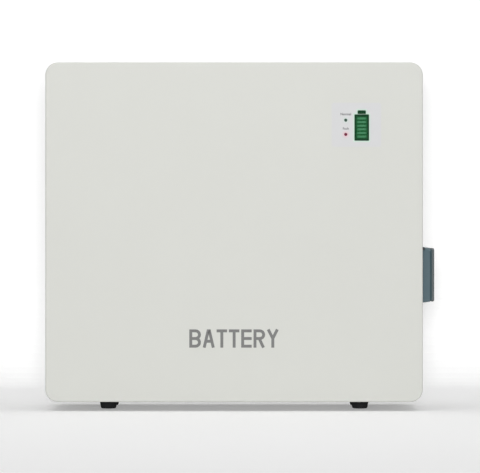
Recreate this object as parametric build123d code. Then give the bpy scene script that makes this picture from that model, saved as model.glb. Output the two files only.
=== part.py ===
"""Wall battery unit: a sheet-steel cased home storage battery that hangs on a wall bracket or stands on feet.

Everything is modelled in case coordinates, in millimetres: x = 0 in the middle of the case, y = 0 on the
front face with +Y towards the wall, z = 0 on the underside of the case. place() then moves each piece into
the part's own frame, whose origin is the middle of the whole unit's base, level with the soles of the feet.
"""
from build123d import *
import math
import os

# ---------------------------------------------------------------- driving dimensions
CASE_W, CASE_H, CASE_D = 480.0, 432.0, 150.0
SHEET = 1.5                  # steel thickness
CORNER_R = 16.0              # rolled corners, seen from the front
BEND_R = 2.0                 # outside bend where a face meets its walls
SEAM_Y = 42.0                # where the front cover meets the rear case
GASKET_T = 2.0
LIP_GAP = 0.3                # between the cover's wall and the lip inside it
LIP_REACH = 16.0             # how far the lip reaches into the cover
JOGGLE = 8.0                 # length of the doubled wall behind the seam
FOOT_H = 11.5
FOOT_R, FOOT_SOLE_R = 11.8, 9.6
FOOT_X, FOOT_YS = 162.4, (60.0, 130.0)
FOOT_EDGE_R = 2.0
FOOT_RECESS, FOOT_RECESS_R = 6.0, 4.6    # the foot screw's head sits this deep in the sole
FOOT_NUT_H = 3.2
SCREW_END = 0.2              # how far a foot screw stands out of its nut
WALL_GAP = 14.0              # case back to the wall

# side breaker window
WINDOW_Y, WINDOW_Z = 97.0, 160.8
WINDOW_WIDE, WINDOW_TALL = 62.0, 73.0
WINDOW_FLANGE = 2.4
WINDOW_R = 4.0               # the window's rounded corners
WINDOW_PROUD = 19.4          # how far the cover stands out of the case side
COVER_GAP = 0.4              # between the flange and the closed cover
COVER_WALL, COVER_INNER_R = 1.6, 2.6
COVER_INSET = 0.2            # each side of the cover's open end stands this far inside the flange
COVER_TAPER = 2.0            # and each side of its face this far
COVER_ROUND = 1.8
COVER_GROOVE = (13.7, 16.2)  # a shallow groove round the cover, this far out of the case side
GROOVE_DEEP, GROOVE_R = 0.9, 3.4
HINGE_R = 1.5
HINGE_X = CASE_W / 2 + 5.8
HINGE_Z = WINDOW_Z + WINDOW_TALL / 2 - 3.2
HINGE_EYE_R = 2.9
EAR_HALF, EAR_T = 22.0, 5.0  # the frame's two hinge ears start this far from the window's middle
CATCH_DROP = 33.85

# display
OVERLAY_W, OVERLAY_H, OVERLAY_R, OVERLAY_T = 63.0, 56.0, 3.0, 0.5
OVERLAY_X, OVERLAY_Z = 155.5, CASE_H / 2 + 136.5
ICON_X, ICON_Z = OVERLAY_X + 6.8, OVERLAY_Z - 3.5
ICON_W, ICON_H, ICON_R = 18.4, 33.4, 1.2
ICON_CLEAR = 0.15
NUB_W, NUB_H, NUB_GAP = 10.4, 4.5, 0.6
BAR_W, BAR_H, BAR_PITCH, BAR_COUNT = 11.6, 2.4, 4.6, 6
LED_X = OVERLAY_X - 13.5
LED_ZS = {"status_led_lens": OVERLAY_Z + 5.9, "alarm_led_lens": OVERLAY_Z - 12.2}
LED_R = 1.9
BOARD_Y = 9.5                # front of the display board
PCB_T = 1.6

# cells: sixteen prismatic cells in two columns of eight
CELL_W, CELL_T, CELL_D = 160.0, 50.0, 116.0
CELL_BACK = 144.5
CELL_COLUMNS = {"left": -137.0, "right": 33.0}
CELL_ROWS = 8
SPACER_T = 0.5
PITCH = CELL_T + SPACER_T
PLATE_T = 8.0                # end plates
STACK_Z = 14.25              # underside of the lowest cell
STACK_TOP = STACK_Z + CELL_ROWS * CELL_T + (CELL_ROWS - 1) * SPACER_T
CELL_FRONT = CELL_BACK - CELL_D
TERMINAL_X = 55.0            # each terminal, from the cell's middle
TERMINAL_R, TERMINAL_H, STUD_R = 9.0, 2.5, 3.0
LINK_T, LINK_W = 2.0, 22.0
ROD_XS, ROD_YS, ROD_R = (-224.0, -52.0, 120.0), (72.0, 130.0), 3.0
PLATE_X0, PLATE_X1, PLATE_Y0 = -231.0, 127.0, 54.0
LINK_Y = CELL_FRONT - TERMINAL_H - LINK_T    # front face of the cell links

# output bars, in front of the voltage-sensing board
SENSE_Y = 14.4
BAR_Y0, BAR_Y1 = 8.0, 11.0
OUTPUT_BAR_H = 20.0
PLUS_BAR_END, MINUS_BAR_END = 132.0, 123.0
MINUS_BAR_DROP = 25.0        # the negative bar runs this far under the top row
FUSE_HOLES = (PLUS_BAR_END - 7.0, PLUS_BAR_END + 43.0)
FUSE_BLADE_T = 2.0
MINUS_LUG_X = MINUS_BAR_END - 5.0

# battery management board and its heatsink
BMS_X0, BMS_X1, BMS_Z0, BMS_Z1 = 138.0, 232.0, 236.0, 412.0
BMS_Y = 112.0
SINK_DEEP = 22.0

# breaker, seen along X: the nose passes through the case side
NOSE_TALL, NOSE_PROUD = 45.0, 1.5
BREAKER_WIDE, BREAKER_TALL = 36.0, 85.0
BREAKER_DEEP = 62.0          # DIN rail to the nose's face
SHOULDER_DEEP = 44.0
POLE = 18.0
NOSE_X = CASE_W / 2 + NOSE_PROUD
RAIL_X = NOSE_X - BREAKER_DEEP
RAIL_T = 1.0
RAIL_BACK = RAIL_X - 7.5     # the 35 mm rail is 7.5 mm deep
POLE_YS = (WINDOW_Y - POLE / 2, WINDOW_Y + POLE / 2)
TERMINAL_SHAFT_X = RAIL_X + 20.0
TOGGLE_X = NOSE_X - 2.6      # toggle axis
TOGGLE_DRUM_R, TOGGLE_GAP = 5.4, 0.35
TOGGLE_REACH = 11.4
TOGGLE_TILT = 38.0           # the handle stands this far above level when on

# connector bay in the right-hand side, under the window
BAY_Y, BAY_Z = 97.0, 66.0
BAY_WIDE, BAY_TALL, BAY_DEEP = 80.0, 78.0, 32.0
BAY_WALL, BAY_FLANGE_Y, BAY_FLANGE_Z = 2.0, 5.0, 10.0
BAY_FACE = CASE_W / 2 - SHEET
BAY_FLOOR = BAY_FACE - BAY_DEEP
SOCKETS = {"positive_socket": 76.0, "negative_socket": 118.0}
SOCKET_Z = 47.0
SOCKET_FLANGE, SOCKET_R, SOCKET_WALL = 34.0, 14.0, 3.0
SOCKET_OUT = 26.0
CONTACT_BORE_R, CONTACT_R, CONTACT_LEN = 4.0, 5.6, 22.0
TOP_ROW_Z = 88.0
JACK_YS, JACK_W, JACK_TALL = (67.0, 85.0), 16.0, 14.0
JACK_HOLE_W, JACK_HOLE_H, JACK_DEEP = 11.8, 8.2, 13.0
BUTTON_Y, BUTTON_R, BUTTON_TRAVEL = 107.0, 5.5, 2.0
BUTTON_PROUD = 4.5           # the cap's face, from the bay floor
SWITCH_R, SWITCH_BEZEL_R, SWITCH_DEEP, SWITCH_BORE = 6.2, 8.5, 12.0, 8.0
STUD_Y, GROUND_STUD_R, GROUND_STUD_LEN = 127.0, 3.0, 14.0

# wall hanging
HANGER_Z = 372.0             # underside of the hanger's web
HANGER_W, HANGER_SHEET, HOOK_DROP = 300.0, 2.0, 20.0
BRACKET_W, BRACKET_PLATE_H = 320.0, 74.0
BRACKET_HOLE_R = 4.5
BRACKET_HOLES_X, BRACKET_HOLES_Z = 260.0, 40.0
HOOK_CLEAR = 0.3
STANDOFF_X, STANDOFF_Z = 170.0, 48.0

# fasteners
M3_R, M3_HEAD_R, M3_HEAD_H = 1.5, 2.9, 1.4
M4_R, M4_HEAD_R, M4_HEAD_H = 2.0, 3.9, 2.6
CLEAR = 0.15                 # running clearance round screws
CABLE_R = 4.6
LUG_T, LUG_LEN, LUG_W = 2.2, 16.0, 12.0

SIDE = CASE_W / 2
CENTRE_Z = CASE_H / 2
BASE = (Align.CENTER, Align.CENTER, Align.MIN)

# The middle of the unit's box, in case coordinates: the window cover and the overlay stand out of the case.
ORIGIN = (WINDOW_PROUD / 2, (CASE_D + WALL_GAP - OVERLAY_T) / 2, -FOOT_H)

parts = {}


# ---------------------------------------------------------------- small helpers
def add(name, *solids):
    """Keep the solids as one named node."""
    parts[name] = [s for shape in solids for s in shape.solids()]


def block(x0, x1, y0, y1, z0, z1):
    """A box between two corners."""
    return Pos((x0 + x1) / 2, (y0 + y1) / 2, (z0 + z1) / 2) * Box(x1 - x0, y1 - y0, z1 - z0)


def along_x(sketch, x0, x1):
    """A (y, z) sketch extruded from x0 to x1."""
    return extrude(Plane.YZ.offset(x0) * sketch, x1 - x0)


def along_y(sketch, y0, y1):
    """An (x, z) sketch extruded from y0 to y1."""
    return extrude(Plane.XZ.offset(-y1) * sketch, y1 - y0)


def rod(start, axis, radius, length):
    """A cylinder from start along axis."""
    return Plane(origin=start, z_dir=axis) * Cylinder(radius, length, align=BASE)


def cone(start, axis, radius, end_radius, length):
    return Plane(origin=start, z_dir=axis) * Cone(radius, end_radius, length, align=BASE)


def hexagon(start, axis, across_flats, length):
    flat = Plane(origin=start, z_dir=axis) * RegularPolygon(across_flats / 2, 6, major_radius=False)
    return extrude(flat, length)


def case_outline(inset):
    """The case seen from the front, drawn inset from its outer surface."""
    outline = RectangleRounded(CASE_W - 2 * inset, CASE_H - 2 * inset, CORNER_R - inset)
    return Pos(0, CENTRE_Z) * outline


def case_ring(inset, wall, y0, y1):
    return along_y(case_outline(inset) - case_outline(inset + wall), y0, y1)


def facing(shape, axis, last=True):
    """The outermost face along an axis."""
    return shape.faces().sort_by(axis)[-1 if last else 0]


# ---------------------------------------------------------------- where fasteners sit
SEAM_SCREW_Y = SEAM_Y - 9.0
SEAM_SCREWS = (
    [((x, SEAM_SCREW_Y, CASE_H), (0, 0, -1)) for x in (-200, 0, 200)]
    + [((x, SEAM_SCREW_Y, 0), (0, 0, 1)) for x in (-200, 0, 200)]
    + [((-SIDE, SEAM_SCREW_Y, z), (1, 0, 0)) for z in (60, CENTRE_Z, 372)]
    + [((SIDE, SEAM_SCREW_Y, z), (-1, 0, 0)) for z in (60, CENTRE_Z, 372)]
)
BAY_SCREW_RISE = BAY_TALL / 2 + 6.2
BAY_SCREWS = [
    ((SIDE, BAY_Y + dy, BAY_Z + dz), (-1, 0, 0))
    for dy in (-28, 28)
    for dz in (-BAY_SCREW_RISE, BAY_SCREW_RISE)
]
WINDOW_SCREWS = [
    ((SIDE + WINDOW_FLANGE, WINDOW_Y + dy, WINDOW_Z + dz), (-1, 0, 0))
    for dy in (-27.3, 27.3)
    for dz in (-16, 16)
]
PACK_SCREWS = [
    ((x, CASE_D, z), (0, -1, 0))
    for z in (STACK_Z - PLATE_T / 2, STACK_TOP + PLATE_T / 2)
    for x in (-190, -85, 20, 100)
]
FEET = {
    "foot_front_left": (-FOOT_X, FOOT_YS[0]),
    "foot_front_right": (FOOT_X, FOOT_YS[0]),
    "foot_rear_left": (-FOOT_X, FOOT_YS[1]),
    "foot_rear_right": (FOOT_X, FOOT_YS[1]),
}


def countersink(place, axis):
    """What a flush M3 screw needs cut out of the sheet."""
    head = cone(place, axis, M3_HEAD_R + CLEAR, M3_R + CLEAR, M3_HEAD_H)
    return head + rod(place, axis, M3_R + CLEAR, 5.0)


# ---------------------------------------------------------------- casing
def front_cover():
    """Folded pan: the front face and the first stretch of the four side walls."""
    pan = along_y(case_outline(0), 0, SEAM_Y - GASKET_T / 2)
    pan = fillet(facing(pan, Axis.Y, last=False).edges(), BEND_R)
    inside = along_y(case_outline(SHEET), SHEET, SEAM_Y)
    pan -= fillet(facing(inside, Axis.Y, last=False).edges(), BEND_R - SHEET)
    pan -= icon_body(0, SHEET, ICON_CLEAR)
    for z in LED_ZS.values():
        pan -= rod((LED_X, -1, z), (0, 1, 0), LED_R + CLEAR, SHEET + 2)
    for x, z in board_screw_places():
        boss = rod((x, SHEET, z), (0, 1, 0), 3.0, BOARD_Y - SHEET)
        pan += boss - rod((x, SHEET + 1, z), (0, 1, 0), M3_R + CLEAR, BOARD_Y)
    for place, axis in SEAM_SCREWS:
        pan -= countersink(place, axis)
    return pan


def hanger():
    """Hook rail welded to the back: a flat plate, a web and a lip that hangs down clear of the case."""
    half = HANGER_W / 2
    top = HANGER_Z + HANGER_SHEET
    plate = block(-half, half, CASE_D, CASE_D + HANGER_SHEET, HANGER_Z, top + 28)
    web = block(-half, half, CASE_D, CASE_D + 9, HANGER_Z, top)
    lip = block(-half, half, CASE_D + 7, CASE_D + 9, HANGER_Z - HOOK_DROP, top)
    return plate + web + lip


def rail_screw_places():
    """Two screws hold the DIN rail to its bracket, as (place, axis)."""
    return [((RAIL_BACK + RAIL_T, WINDOW_Y + dy, WINDOW_Z), (-1, 0, 0)) for dy in (-22, 22)]


def breaker_bracket():
    """Welded angle that carries the DIN rail."""
    back = CASE_D - SHEET
    wall = block(RAIL_BACK - 2, RAIL_BACK, 66, back, WINDOW_Z - 26, WINDOW_Z + 26)
    foot = block(RAIL_BACK - 20, RAIL_BACK, back - 2, back, WINDOW_Z - 26, WINDOW_Z + 26)
    angle = wall + foot
    for place, axis in rail_screw_places():
        angle -= rod(place, axis, M3_R + CLEAR, 6)
    return angle


def standoffs():
    """Lower stand-offs formed in the back, which keep the unit upright against the wall."""
    places = [(x, CASE_D, STANDOFF_Z) for x in (-STANDOFF_X, STANDOFF_X)]
    pads = [cone(place, (0, 1, 0), 15, 11, WALL_GAP) for place in places]
    holes = [rod((x, y - SHEET, z), (0, 1, 0), 8.5, WALL_GAP) for x, y, z in places]
    return pads, holes


def rear_case():
    """Tray with a doubled lip at the seam, a welded hanger and the openings in its right-hand side."""
    front = SEAM_Y + GASKET_T / 2
    tray = along_y(case_outline(0), front, CASE_D)
    tray = fillet(facing(tray, Axis.Y).edges(), BEND_R)
    inside = along_y(case_outline(SHEET), front - 1, CASE_D - SHEET)
    tray -= fillet(facing(inside, Axis.Y).edges(), BEND_R - SHEET)
    lip_inset = SHEET + LIP_GAP
    tray += case_ring(SHEET, LIP_GAP + SHEET, front, front + JOGGLE)
    tray += case_ring(lip_inset, SHEET, SEAM_Y - LIP_REACH, front + JOGGLE)
    pads, holes = standoffs()
    for pad, hole in zip(pads, holes):
        tray = tray + pad - hole
    tray = tray + hanger() + breaker_bracket()
    for place, axis in SEAM_SCREWS + BAY_SCREWS:
        tray -= countersink(place, axis)
    for place, axis in WINDOW_SCREWS:
        tray -= rod(place, axis, M3_R + CLEAR, 6)
    for x, y in FEET.values():
        tray -= rod((x, y, -1), (0, 0, 1), M4_R + CLEAR, SHEET + 2)
    for place, axis in PACK_SCREWS:
        tray -= rod((place[0], place[1] + 1, place[2]), axis, M4_R + CLEAR, SHEET + 2)
    hole_wide, hole_tall = WINDOW_WIDE - 14, WINDOW_TALL - 16
    tray -= block(SIDE - 5, SIDE + 1, WINDOW_Y - hole_wide / 2, WINDOW_Y + hole_wide / 2,
                  WINDOW_Z - hole_tall / 2, WINDOW_Z + hole_tall / 2)
    tray -= along_x(bay_rectangle(0, 0, 5), SIDE - 2, SIDE + 1)
    return tray


def cover_gasket():
    return case_ring(0.4, SHEET + LIP_GAP - 0.4 - 0.05, SEAM_Y - GASKET_T / 2, SEAM_Y + GASKET_T / 2)


def countersunk_screw(place, axis):
    head = cone(place, axis, M3_HEAD_R, M3_R, M3_HEAD_H)
    slot = Plane(origin=place, z_dir=axis) * Box(3.2, 0.8, 1.2)
    return head + rod(place, axis, M3_R, 9.0) - slot


def clinch_nut(place, axis, depth):
    start = tuple(p + a * depth for p, a in zip(place, axis))
    return rod(start, axis, 3.5, 3.0) - rod(start, axis, M3_R + CLEAR, 3.0)


def make_casing():
    add("front_cover", front_cover())
    add("rear_case", rear_case())
    add("cover_gasket", cover_gasket())
    screws = SEAM_SCREWS + BAY_SCREWS + WINDOW_SCREWS
    add("countersunk_screws", *[countersunk_screw(*s) for s in screws])
    nuts = [clinch_nut(*s, 2 * SHEET + LIP_GAP) for s in SEAM_SCREWS]
    nuts += [clinch_nut(*s, SHEET + BAY_WALL) for s in BAY_SCREWS]
    nuts += [clinch_nut(*s, WINDOW_FLANGE + SHEET) for s in WINDOW_SCREWS]
    add("clinch_nuts", *nuts)


# ---------------------------------------------------------------- feet and M4 screws
def foot(x, y):
    """Tapered round rubber foot, screwed up into the case from a recess in its sole."""
    body = Pos(x, y, -FOOT_H) * Cone(FOOT_SOLE_R, FOOT_R, FOOT_H, align=BASE)
    body = fillet(body.edges().sort_by(Axis.Z)[0], FOOT_EDGE_R)
    body -= rod((x, y, -FOOT_H), (0, 0, 1), FOOT_RECESS_R, FOOT_RECESS)
    return body - rod((x, y, -FOOT_H), (0, 0, 1), M4_R + CLEAR, FOOT_H)


def m4_screw(place, axis, length):
    """Pan head, standing out of place against axis, with a cross slot."""
    out = tuple(-a for a in axis)
    head = fillet(facing(rod((0, 0, 0), (0, 0, 1), M4_HEAD_R, M4_HEAD_H), Axis.Z).edges(), 1.2)
    for turn in (0, 90):
        head -= Pos(0, 0, M4_HEAD_H) * Rot(0, 0, turn) * Box(4.2, 0.9, 2.2)
    return Plane(origin=place, z_dir=out) * head + rod(place, axis, M4_R, length)


def foot_nut(x, y):
    nut = hexagon((x, y, SHEET), (0, 0, 1), 7.0, FOOT_NUT_H)
    return nut - rod((x, y, SHEET), (0, 0, 1), M4_R + CLEAR, FOOT_NUT_H)


def make_feet():
    for name, place in FEET.items():
        add(name, foot(*place))
    seat = FOOT_RECESS - FOOT_H
    end = SHEET + FOOT_NUT_H + SCREW_END
    screws = [m4_screw((x, y, seat), (0, 0, 1), end - seat) for x, y in FEET.values()]
    screws += [m4_screw(place, axis, 9.0) for place, axis in PACK_SCREWS]
    nuts = [foot_nut(x, y) for x, y in FEET.values()]
    add("m4_screws_and_nuts", *screws, *nuts)


# ---------------------------------------------------------------- display
def icon_body(y0, y1, grow=0.0):
    """The battery-shaped window: body and end cap, drawn from y0 to y1."""
    body = RectangleRounded(ICON_W + 2 * grow, ICON_H + 2 * grow, ICON_R)
    cap = RectangleRounded(NUB_W + 2 * grow, NUB_H + 2 * grow, ICON_R)
    cap_z = ICON_Z + ICON_H / 2 + NUB_GAP + NUB_H / 2
    return along_y(Pos(ICON_X, ICON_Z) * body + Pos(ICON_X, cap_z) * cap, y0, y1)


def charge_bar(index, y0, y1, grow=0.0):
    z = ICON_Z + (index - (BAR_COUNT - 1) / 2) * BAR_PITCH
    return block(ICON_X - BAR_W / 2 - grow, ICON_X + BAR_W / 2 + grow, y0, y1,
                 z - BAR_H / 2 - grow, z + BAR_H / 2 + grow)


def board_screw_places():
    return [(OVERLAY_X + dx, OVERLAY_Z + dz) for dx in (-28, 28) for dz in (-23, 23)]


def icon_lens():
    """Green lens pushed in from behind, with a rim that stops against the cover."""
    rim = block(ICON_X - 12, ICON_X + 12, SHEET, SHEET + 1.2, ICON_Z - 20, ICON_Z + ICON_H / 2 + 8)
    lens = icon_body(-OVERLAY_T, SHEET) + rim
    for i in range(BAR_COUNT):
        lens -= charge_bar(i, -OVERLAY_T - 1, SHEET + 2, 0.05)
    return lens


def display_overlay():
    sheet = along_y(Pos(OVERLAY_X, OVERLAY_Z) * RectangleRounded(OVERLAY_W, OVERLAY_H, OVERLAY_R),
                    -OVERLAY_T, 0)
    sheet -= icon_body(-OVERLAY_T - 1, 1, ICON_CLEAR)
    for z in LED_ZS.values():
        sheet -= rod((LED_X, -1, z), (0, 1, 0), LED_R + CLEAR, 2)
    return sheet


def led_lens(z):
    """Round light pipe with a rim behind the cover; its face is level with the overlay."""
    pipe = rod((LED_X, -OVERLAY_T, z), (0, 1, 0), LED_R, OVERLAY_T + BOARD_Y - 1.6)
    pipe = fillet(facing(pipe, Axis.Y, last=False).edges(), 0.4)
    return pipe + rod((LED_X, SHEET, z), (0, 1, 0), LED_R + 1.2, 1.0)


def display_board():
    """Circuit board with its lamps, a controller chip and a ribbon socket."""
    board = along_y(Pos(OVERLAY_X, OVERLAY_Z) * RectangleRounded(62, 52, 2), BOARD_Y, BOARD_Y + PCB_T)
    for x, z in board_screw_places():
        board -= rod((x, BOARD_Y - 1, z), (0, 1, 0), M3_R + CLEAR, 4)
    lamps = [block(LED_X - 1.6, LED_X + 1.6, BOARD_Y - 1.4, BOARD_Y, z - 1.6, z + 1.6)
             for z in LED_ZS.values()]
    for i in range(BAR_COUNT):
        z = ICON_Z + (i - (BAR_COUNT - 1) / 2) * BAR_PITCH
        lamps.append(block(ICON_X - 3, ICON_X + 3, BOARD_Y - 1.4, BOARD_Y, z - 0.8, z + 0.8))
    back = BOARD_Y + PCB_T
    chip = block(OVERLAY_X - 8, OVERLAY_X + 2, back, back + 1.6, OVERLAY_Z - 6, OVERLAY_Z + 4)
    socket = block(OVERLAY_X - 12, OVERLAY_X + 12, back, back + 6, OVERLAY_Z - 20, OVERLAY_Z - 14)
    for piece in lamps + [chip, socket]:
        board += piece
    return board


def make_display():
    add("display_overlay", display_overlay())
    add("charge_icon_lens", icon_lens())
    add("charge_bars", *[charge_bar(i, -OVERLAY_T, SHEET + 1.2) for i in range(BAR_COUNT)])
    for name, z in LED_ZS.items():
        add(name, led_lens(z))
    add("display_board", display_board())


# ---------------------------------------------------------------- battery pack
def row_z(row):
    """Middle height of a row of cells, counted from the bottom."""
    return STACK_Z + row * PITCH + CELL_T / 2


def cell(x, z):
    """Prismatic cell lying on its side with its terminals towards the front cover."""
    can = block(x - CELL_W / 2, x + CELL_W / 2, CELL_FRONT, CELL_BACK, z - CELL_T / 2, z + CELL_T / 2)
    can = fillet(can.edges().filter_by(Axis.Y), 3.0)
    for side in (-1, 1):
        place = (x + side * TERMINAL_X, CELL_FRONT, z)
        can += rod(place, (0, -1, 0), TERMINAL_R, TERMINAL_H)
        can += rod(place, (0, -1, 0), STUD_R, TERMINAL_H + 8.5)
    vent = Pos(x, z) * SlotOverall(24, 12)
    return can - along_y(vent, CELL_FRONT - 1, CELL_FRONT + 0.8)


def cell_insulators():
    """Glass-fibre sheets between neighbouring cells and one pad behind each column."""
    sheets = []
    for x in CELL_COLUMNS.values():
        for row in range(1, CELL_ROWS):
            top = STACK_Z + row * PITCH
            sheets.append(block(x - 79, x + 79, CELL_FRONT + 1, CELL_BACK, top - SPACER_T, top))
        sheets.append(block(x - 78, x + 78, CELL_BACK, CASE_D - SHEET, STACK_Z + 2, STACK_TOP - 2))
    return sheets


def end_plate(z0, outer_z, inward):
    """Aluminium plate across both columns; tie rods pass through it and their ends sink into it."""
    plate = block(PLATE_X0, PLATE_X1, PLATE_Y0, CASE_D - SHEET, z0, z0 + PLATE_T)
    for x in ROD_XS:
        for y in ROD_YS:
            plate -= rod((x, y, z0 - 1), (0, 0, 1), ROD_R + 0.2, PLATE_T + 2)
            plate -= rod((x, y, outer_z), (0, 0, inward), 6.4, 4.2)
    for place, axis in PACK_SCREWS:
        plate -= rod(place, axis, M4_R + CLEAR, 12)
    return plate


def tie_rod(x, y):
    """Threaded rod with a thin nut at each end."""
    low, high = STACK_Z - PLATE_T, STACK_TOP + PLATE_T
    shaft = rod((x, y, low + 0.4), (0, 0, 1), ROD_R, high - low - 0.8)
    nuts = hexagon((x, y, low + 0.4), (0, 0, 1), 10.0, 3.8)
    return shaft + nuts + hexagon((x, y, high - 4.2), (0, 0, 1), 10.0, 3.8)


def chain():
    """Pairs of terminals joined in series, each as ((x, z), (x, z)), and the pack's two free ends."""
    left, right = CELL_COLUMNS["left"], CELL_COLUMNS["right"]
    top = CELL_ROWS - 1
    pairs = []
    for step in range(top):
        row = top - step                     # the left column runs downwards
        side = -1 if step % 2 == 0 else 1
        x = left + side * TERMINAL_X
        pairs.append(((x, row_z(row)), (x, row_z(row - 1))))
    cross = ((left + TERMINAL_X, row_z(0)), (right - TERMINAL_X, row_z(0)))
    pairs.append(cross)
    for row in range(top):                   # the right column runs back up
        side = 1 if row % 2 == 0 else -1
        x = right + side * TERMINAL_X
        pairs.append(((x, row_z(row)), (x, row_z(row + 1))))
    return pairs, (left + TERMINAL_X, row_z(top)), (right - TERMINAL_X, row_z(top))


def cell_link(a, b):
    """Flat bar with round ends over two studs."""
    mid = ((a[0] + b[0]) / 2, (a[1] + b[1]) / 2)
    length = abs(a[0] - b[0]) + abs(a[1] - b[1]) + LINK_W
    turn = 0 if a[1] == b[1] else 90
    bar = along_y(Pos(*mid) * Rot(0, 0, turn) * SlotOverall(length, LINK_W), LINK_Y, LINK_Y + LINK_T)
    for x, z in (a, b):
        bar -= rod((x, LINK_Y - 1, z), (0, 1, 0), STUD_R + 0.1, LINK_T + 2)
    return bar


def terminal_nut(x, z):
    nut = hexagon((x, LINK_Y, z), (0, -1, 0), 10.0, 5.0)
    return nut - rod((x, LINK_Y, z), (0, -1, 0), STUD_R + 0.1, 5.0)


def output_post(x, z):
    """Copper pillar from a free terminal up to the output bar."""
    base = CELL_FRONT - TERMINAL_H
    post = rod((x, base, z), (0, -1, 0), 8.0, base - BAR_Y1)
    return post - rod((x, base, z), (0, -1, 0), STUD_R + 0.1, 9.5)


def m6_hole(x, z):
    """A hole for an M6 bolt through anything between the bars and the sense board."""
    return rod((x, 5.0, z), (0, 1, 0), STUD_R + 0.1, 15.0)


def output_bars():
    """Positive bar to the fuse, and negative bar to the lead of the management board."""
    _, negative, positive = chain()
    half = OUTPUT_BAR_H / 2
    plus = block(positive[0] - half, PLUS_BAR_END, BAR_Y0, BAR_Y1, positive[1] - half, positive[1] + half)
    plus -= m6_hole(FUSE_HOLES[0], positive[1])
    drop = negative[1] - MINUS_BAR_DROP
    minus = block(negative[0] - half, negative[0] + half, BAR_Y0, BAR_Y1, drop - half, negative[1] + half)
    minus += block(negative[0] - half, MINUS_BAR_END, BAR_Y0, BAR_Y1, drop - half, drop + half)
    minus -= m6_hole(MINUS_LUG_X, drop)
    return [plus + output_post(*positive), minus + output_post(*negative)]


def m6_bolt(x, z, head_y, nut_y):
    """Bolt with its head towards the front cover and a nut behind."""
    head = hexagon((x, head_y - 4.0, z), (0, 1, 0), 10.0, 4.0)
    shaft = rod((x, head_y, z), (0, 1, 0), STUD_R, nut_y + 5.0 - head_y)
    return head + shaft + hexagon((x, nut_y, z), (0, 1, 0), 10.0, 4.0)


def bar_bolts():
    """Bolts at both ends of the fuse and at the negative lead."""
    _, negative, positive = chain()
    near, far = FUSE_HOLES
    bolts = [m6_bolt(near, positive[1], BAR_Y0, BAR_Y1 + FUSE_BLADE_T)]
    bolts.append(m6_bolt(far, positive[1], BAR_Y1, BAR_Y1 + FUSE_BLADE_T + LUG_T))
    bolts.append(m6_bolt(MINUS_LUG_X, negative[1] - MINUS_BAR_DROP, BAR_Y0, BAR_Y1 + LUG_T))
    return bolts


def sense_board():
    """Insulating board over the links, which carries the voltage-sensing tracks."""
    x0, x1 = CELL_COLUMNS["left"] - 78, CELL_COLUMNS["right"] + 78
    board = block(x0, x1, SENSE_Y, SENSE_Y + PCB_T, STACK_Z + 2, STACK_TOP - 2)
    _, negative, positive = chain()
    for x, z in (negative, positive):
        board -= rod((x, SENSE_Y - 1, z), (0, 1, 0), 10.0, 4)
    for x in CELL_COLUMNS.values():
        for row in range(CELL_ROWS):
            board -= along_y(Pos(x, row_z(row)) * SlotOverall(30, 16), SENSE_Y - 1, SENSE_Y + 3)
        for row in (0, 3, 4, 7):
            for dx in (-30, 30):
                post = rod((x + dx, SENSE_Y + PCB_T, row_z(row)), (0, 1, 0), 4.0,
                           CELL_FRONT - SENSE_Y - PCB_T)
                board += post
    plug = block(x1 - 8, x1 - 2, SENSE_Y - 6, SENSE_Y, CENTRE_Z - 20, CENTRE_Z + 20)
    return board + plug


def make_pack():
    count = 0
    for x in CELL_COLUMNS.values():
        for row in range(CELL_ROWS):
            count += 1
            add(f"cell_{count:02d}", cell(x, row_z(row)))
    add("cell_insulators", *cell_insulators())
    add("bottom_end_plate", end_plate(STACK_Z - PLATE_T, STACK_Z - PLATE_T, 1))
    add("top_end_plate", end_plate(STACK_TOP, STACK_TOP + PLATE_T, -1))
    add("tie_rods", *[tie_rod(x, y) for x in ROD_XS for y in ROD_YS])
    pairs, negative, positive = chain()
    add("cell_busbars", *[cell_link(a, b) for a, b in pairs])
    nuts = [terminal_nut(x, z) for pair in pairs for x, z in pair]
    add("m6_nuts_and_bolts", *nuts, *bar_bolts())
    add("output_busbars", *output_bars())
    add("sense_board", sense_board())


# ---------------------------------------------------------------- management electronics
def bms_screw_places():
    return [(x, z) for x in (BMS_X0 + 5, BMS_X1 - 5) for z in (BMS_Z0 + 5, BMS_Z1 - 5)]


def bms_pads():
    """The two high-current pads, as (x, z): pack negative, then load negative."""
    return (BMS_X0 + 16, BMS_Z0 + 16), (BMS_X0 + 50, BMS_Z0 + 16)


def bms_board():
    """Battery management board: power transistors in rows, current shunt, connectors and capacitors."""
    board = block(BMS_X0, BMS_X1, BMS_Y, BMS_Y + PCB_T, BMS_Z0, BMS_Z1)
    for x, z in bms_screw_places():
        board -= rod((x, BMS_Y - 1, z), (0, 1, 0), M3_R + CLEAR, 4)
    for row in range(2):
        for i in range(6):
            x = BMS_X0 + 14 + i * 12
            z = BMS_Z0 + 60 + row * 24
            board += block(x, x + 10, BMS_Y - 4.5, BMS_Y, z, z + 14)
    board += block(BMS_X0 + 30, BMS_X0 + 70, BMS_Y - 3, BMS_Y, BMS_Z0 + 112, BMS_Z0 + 124)
    for i in range(3):
        board += rod((BMS_X1 - 14, BMS_Y, BMS_Z0 + 112 + i * 16), (0, -1, 0), 5.0, 12.0)
    board += block(BMS_X0 + 40, BMS_X1 - 12, BMS_Y - 8, BMS_Y, BMS_Z1 - 16, BMS_Z1 - 8)
    for x, z in bms_pads():
        board += block(x - 9, x + 9, BMS_Y - 3, BMS_Y, z - 9, z + 9)
    return board


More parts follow.
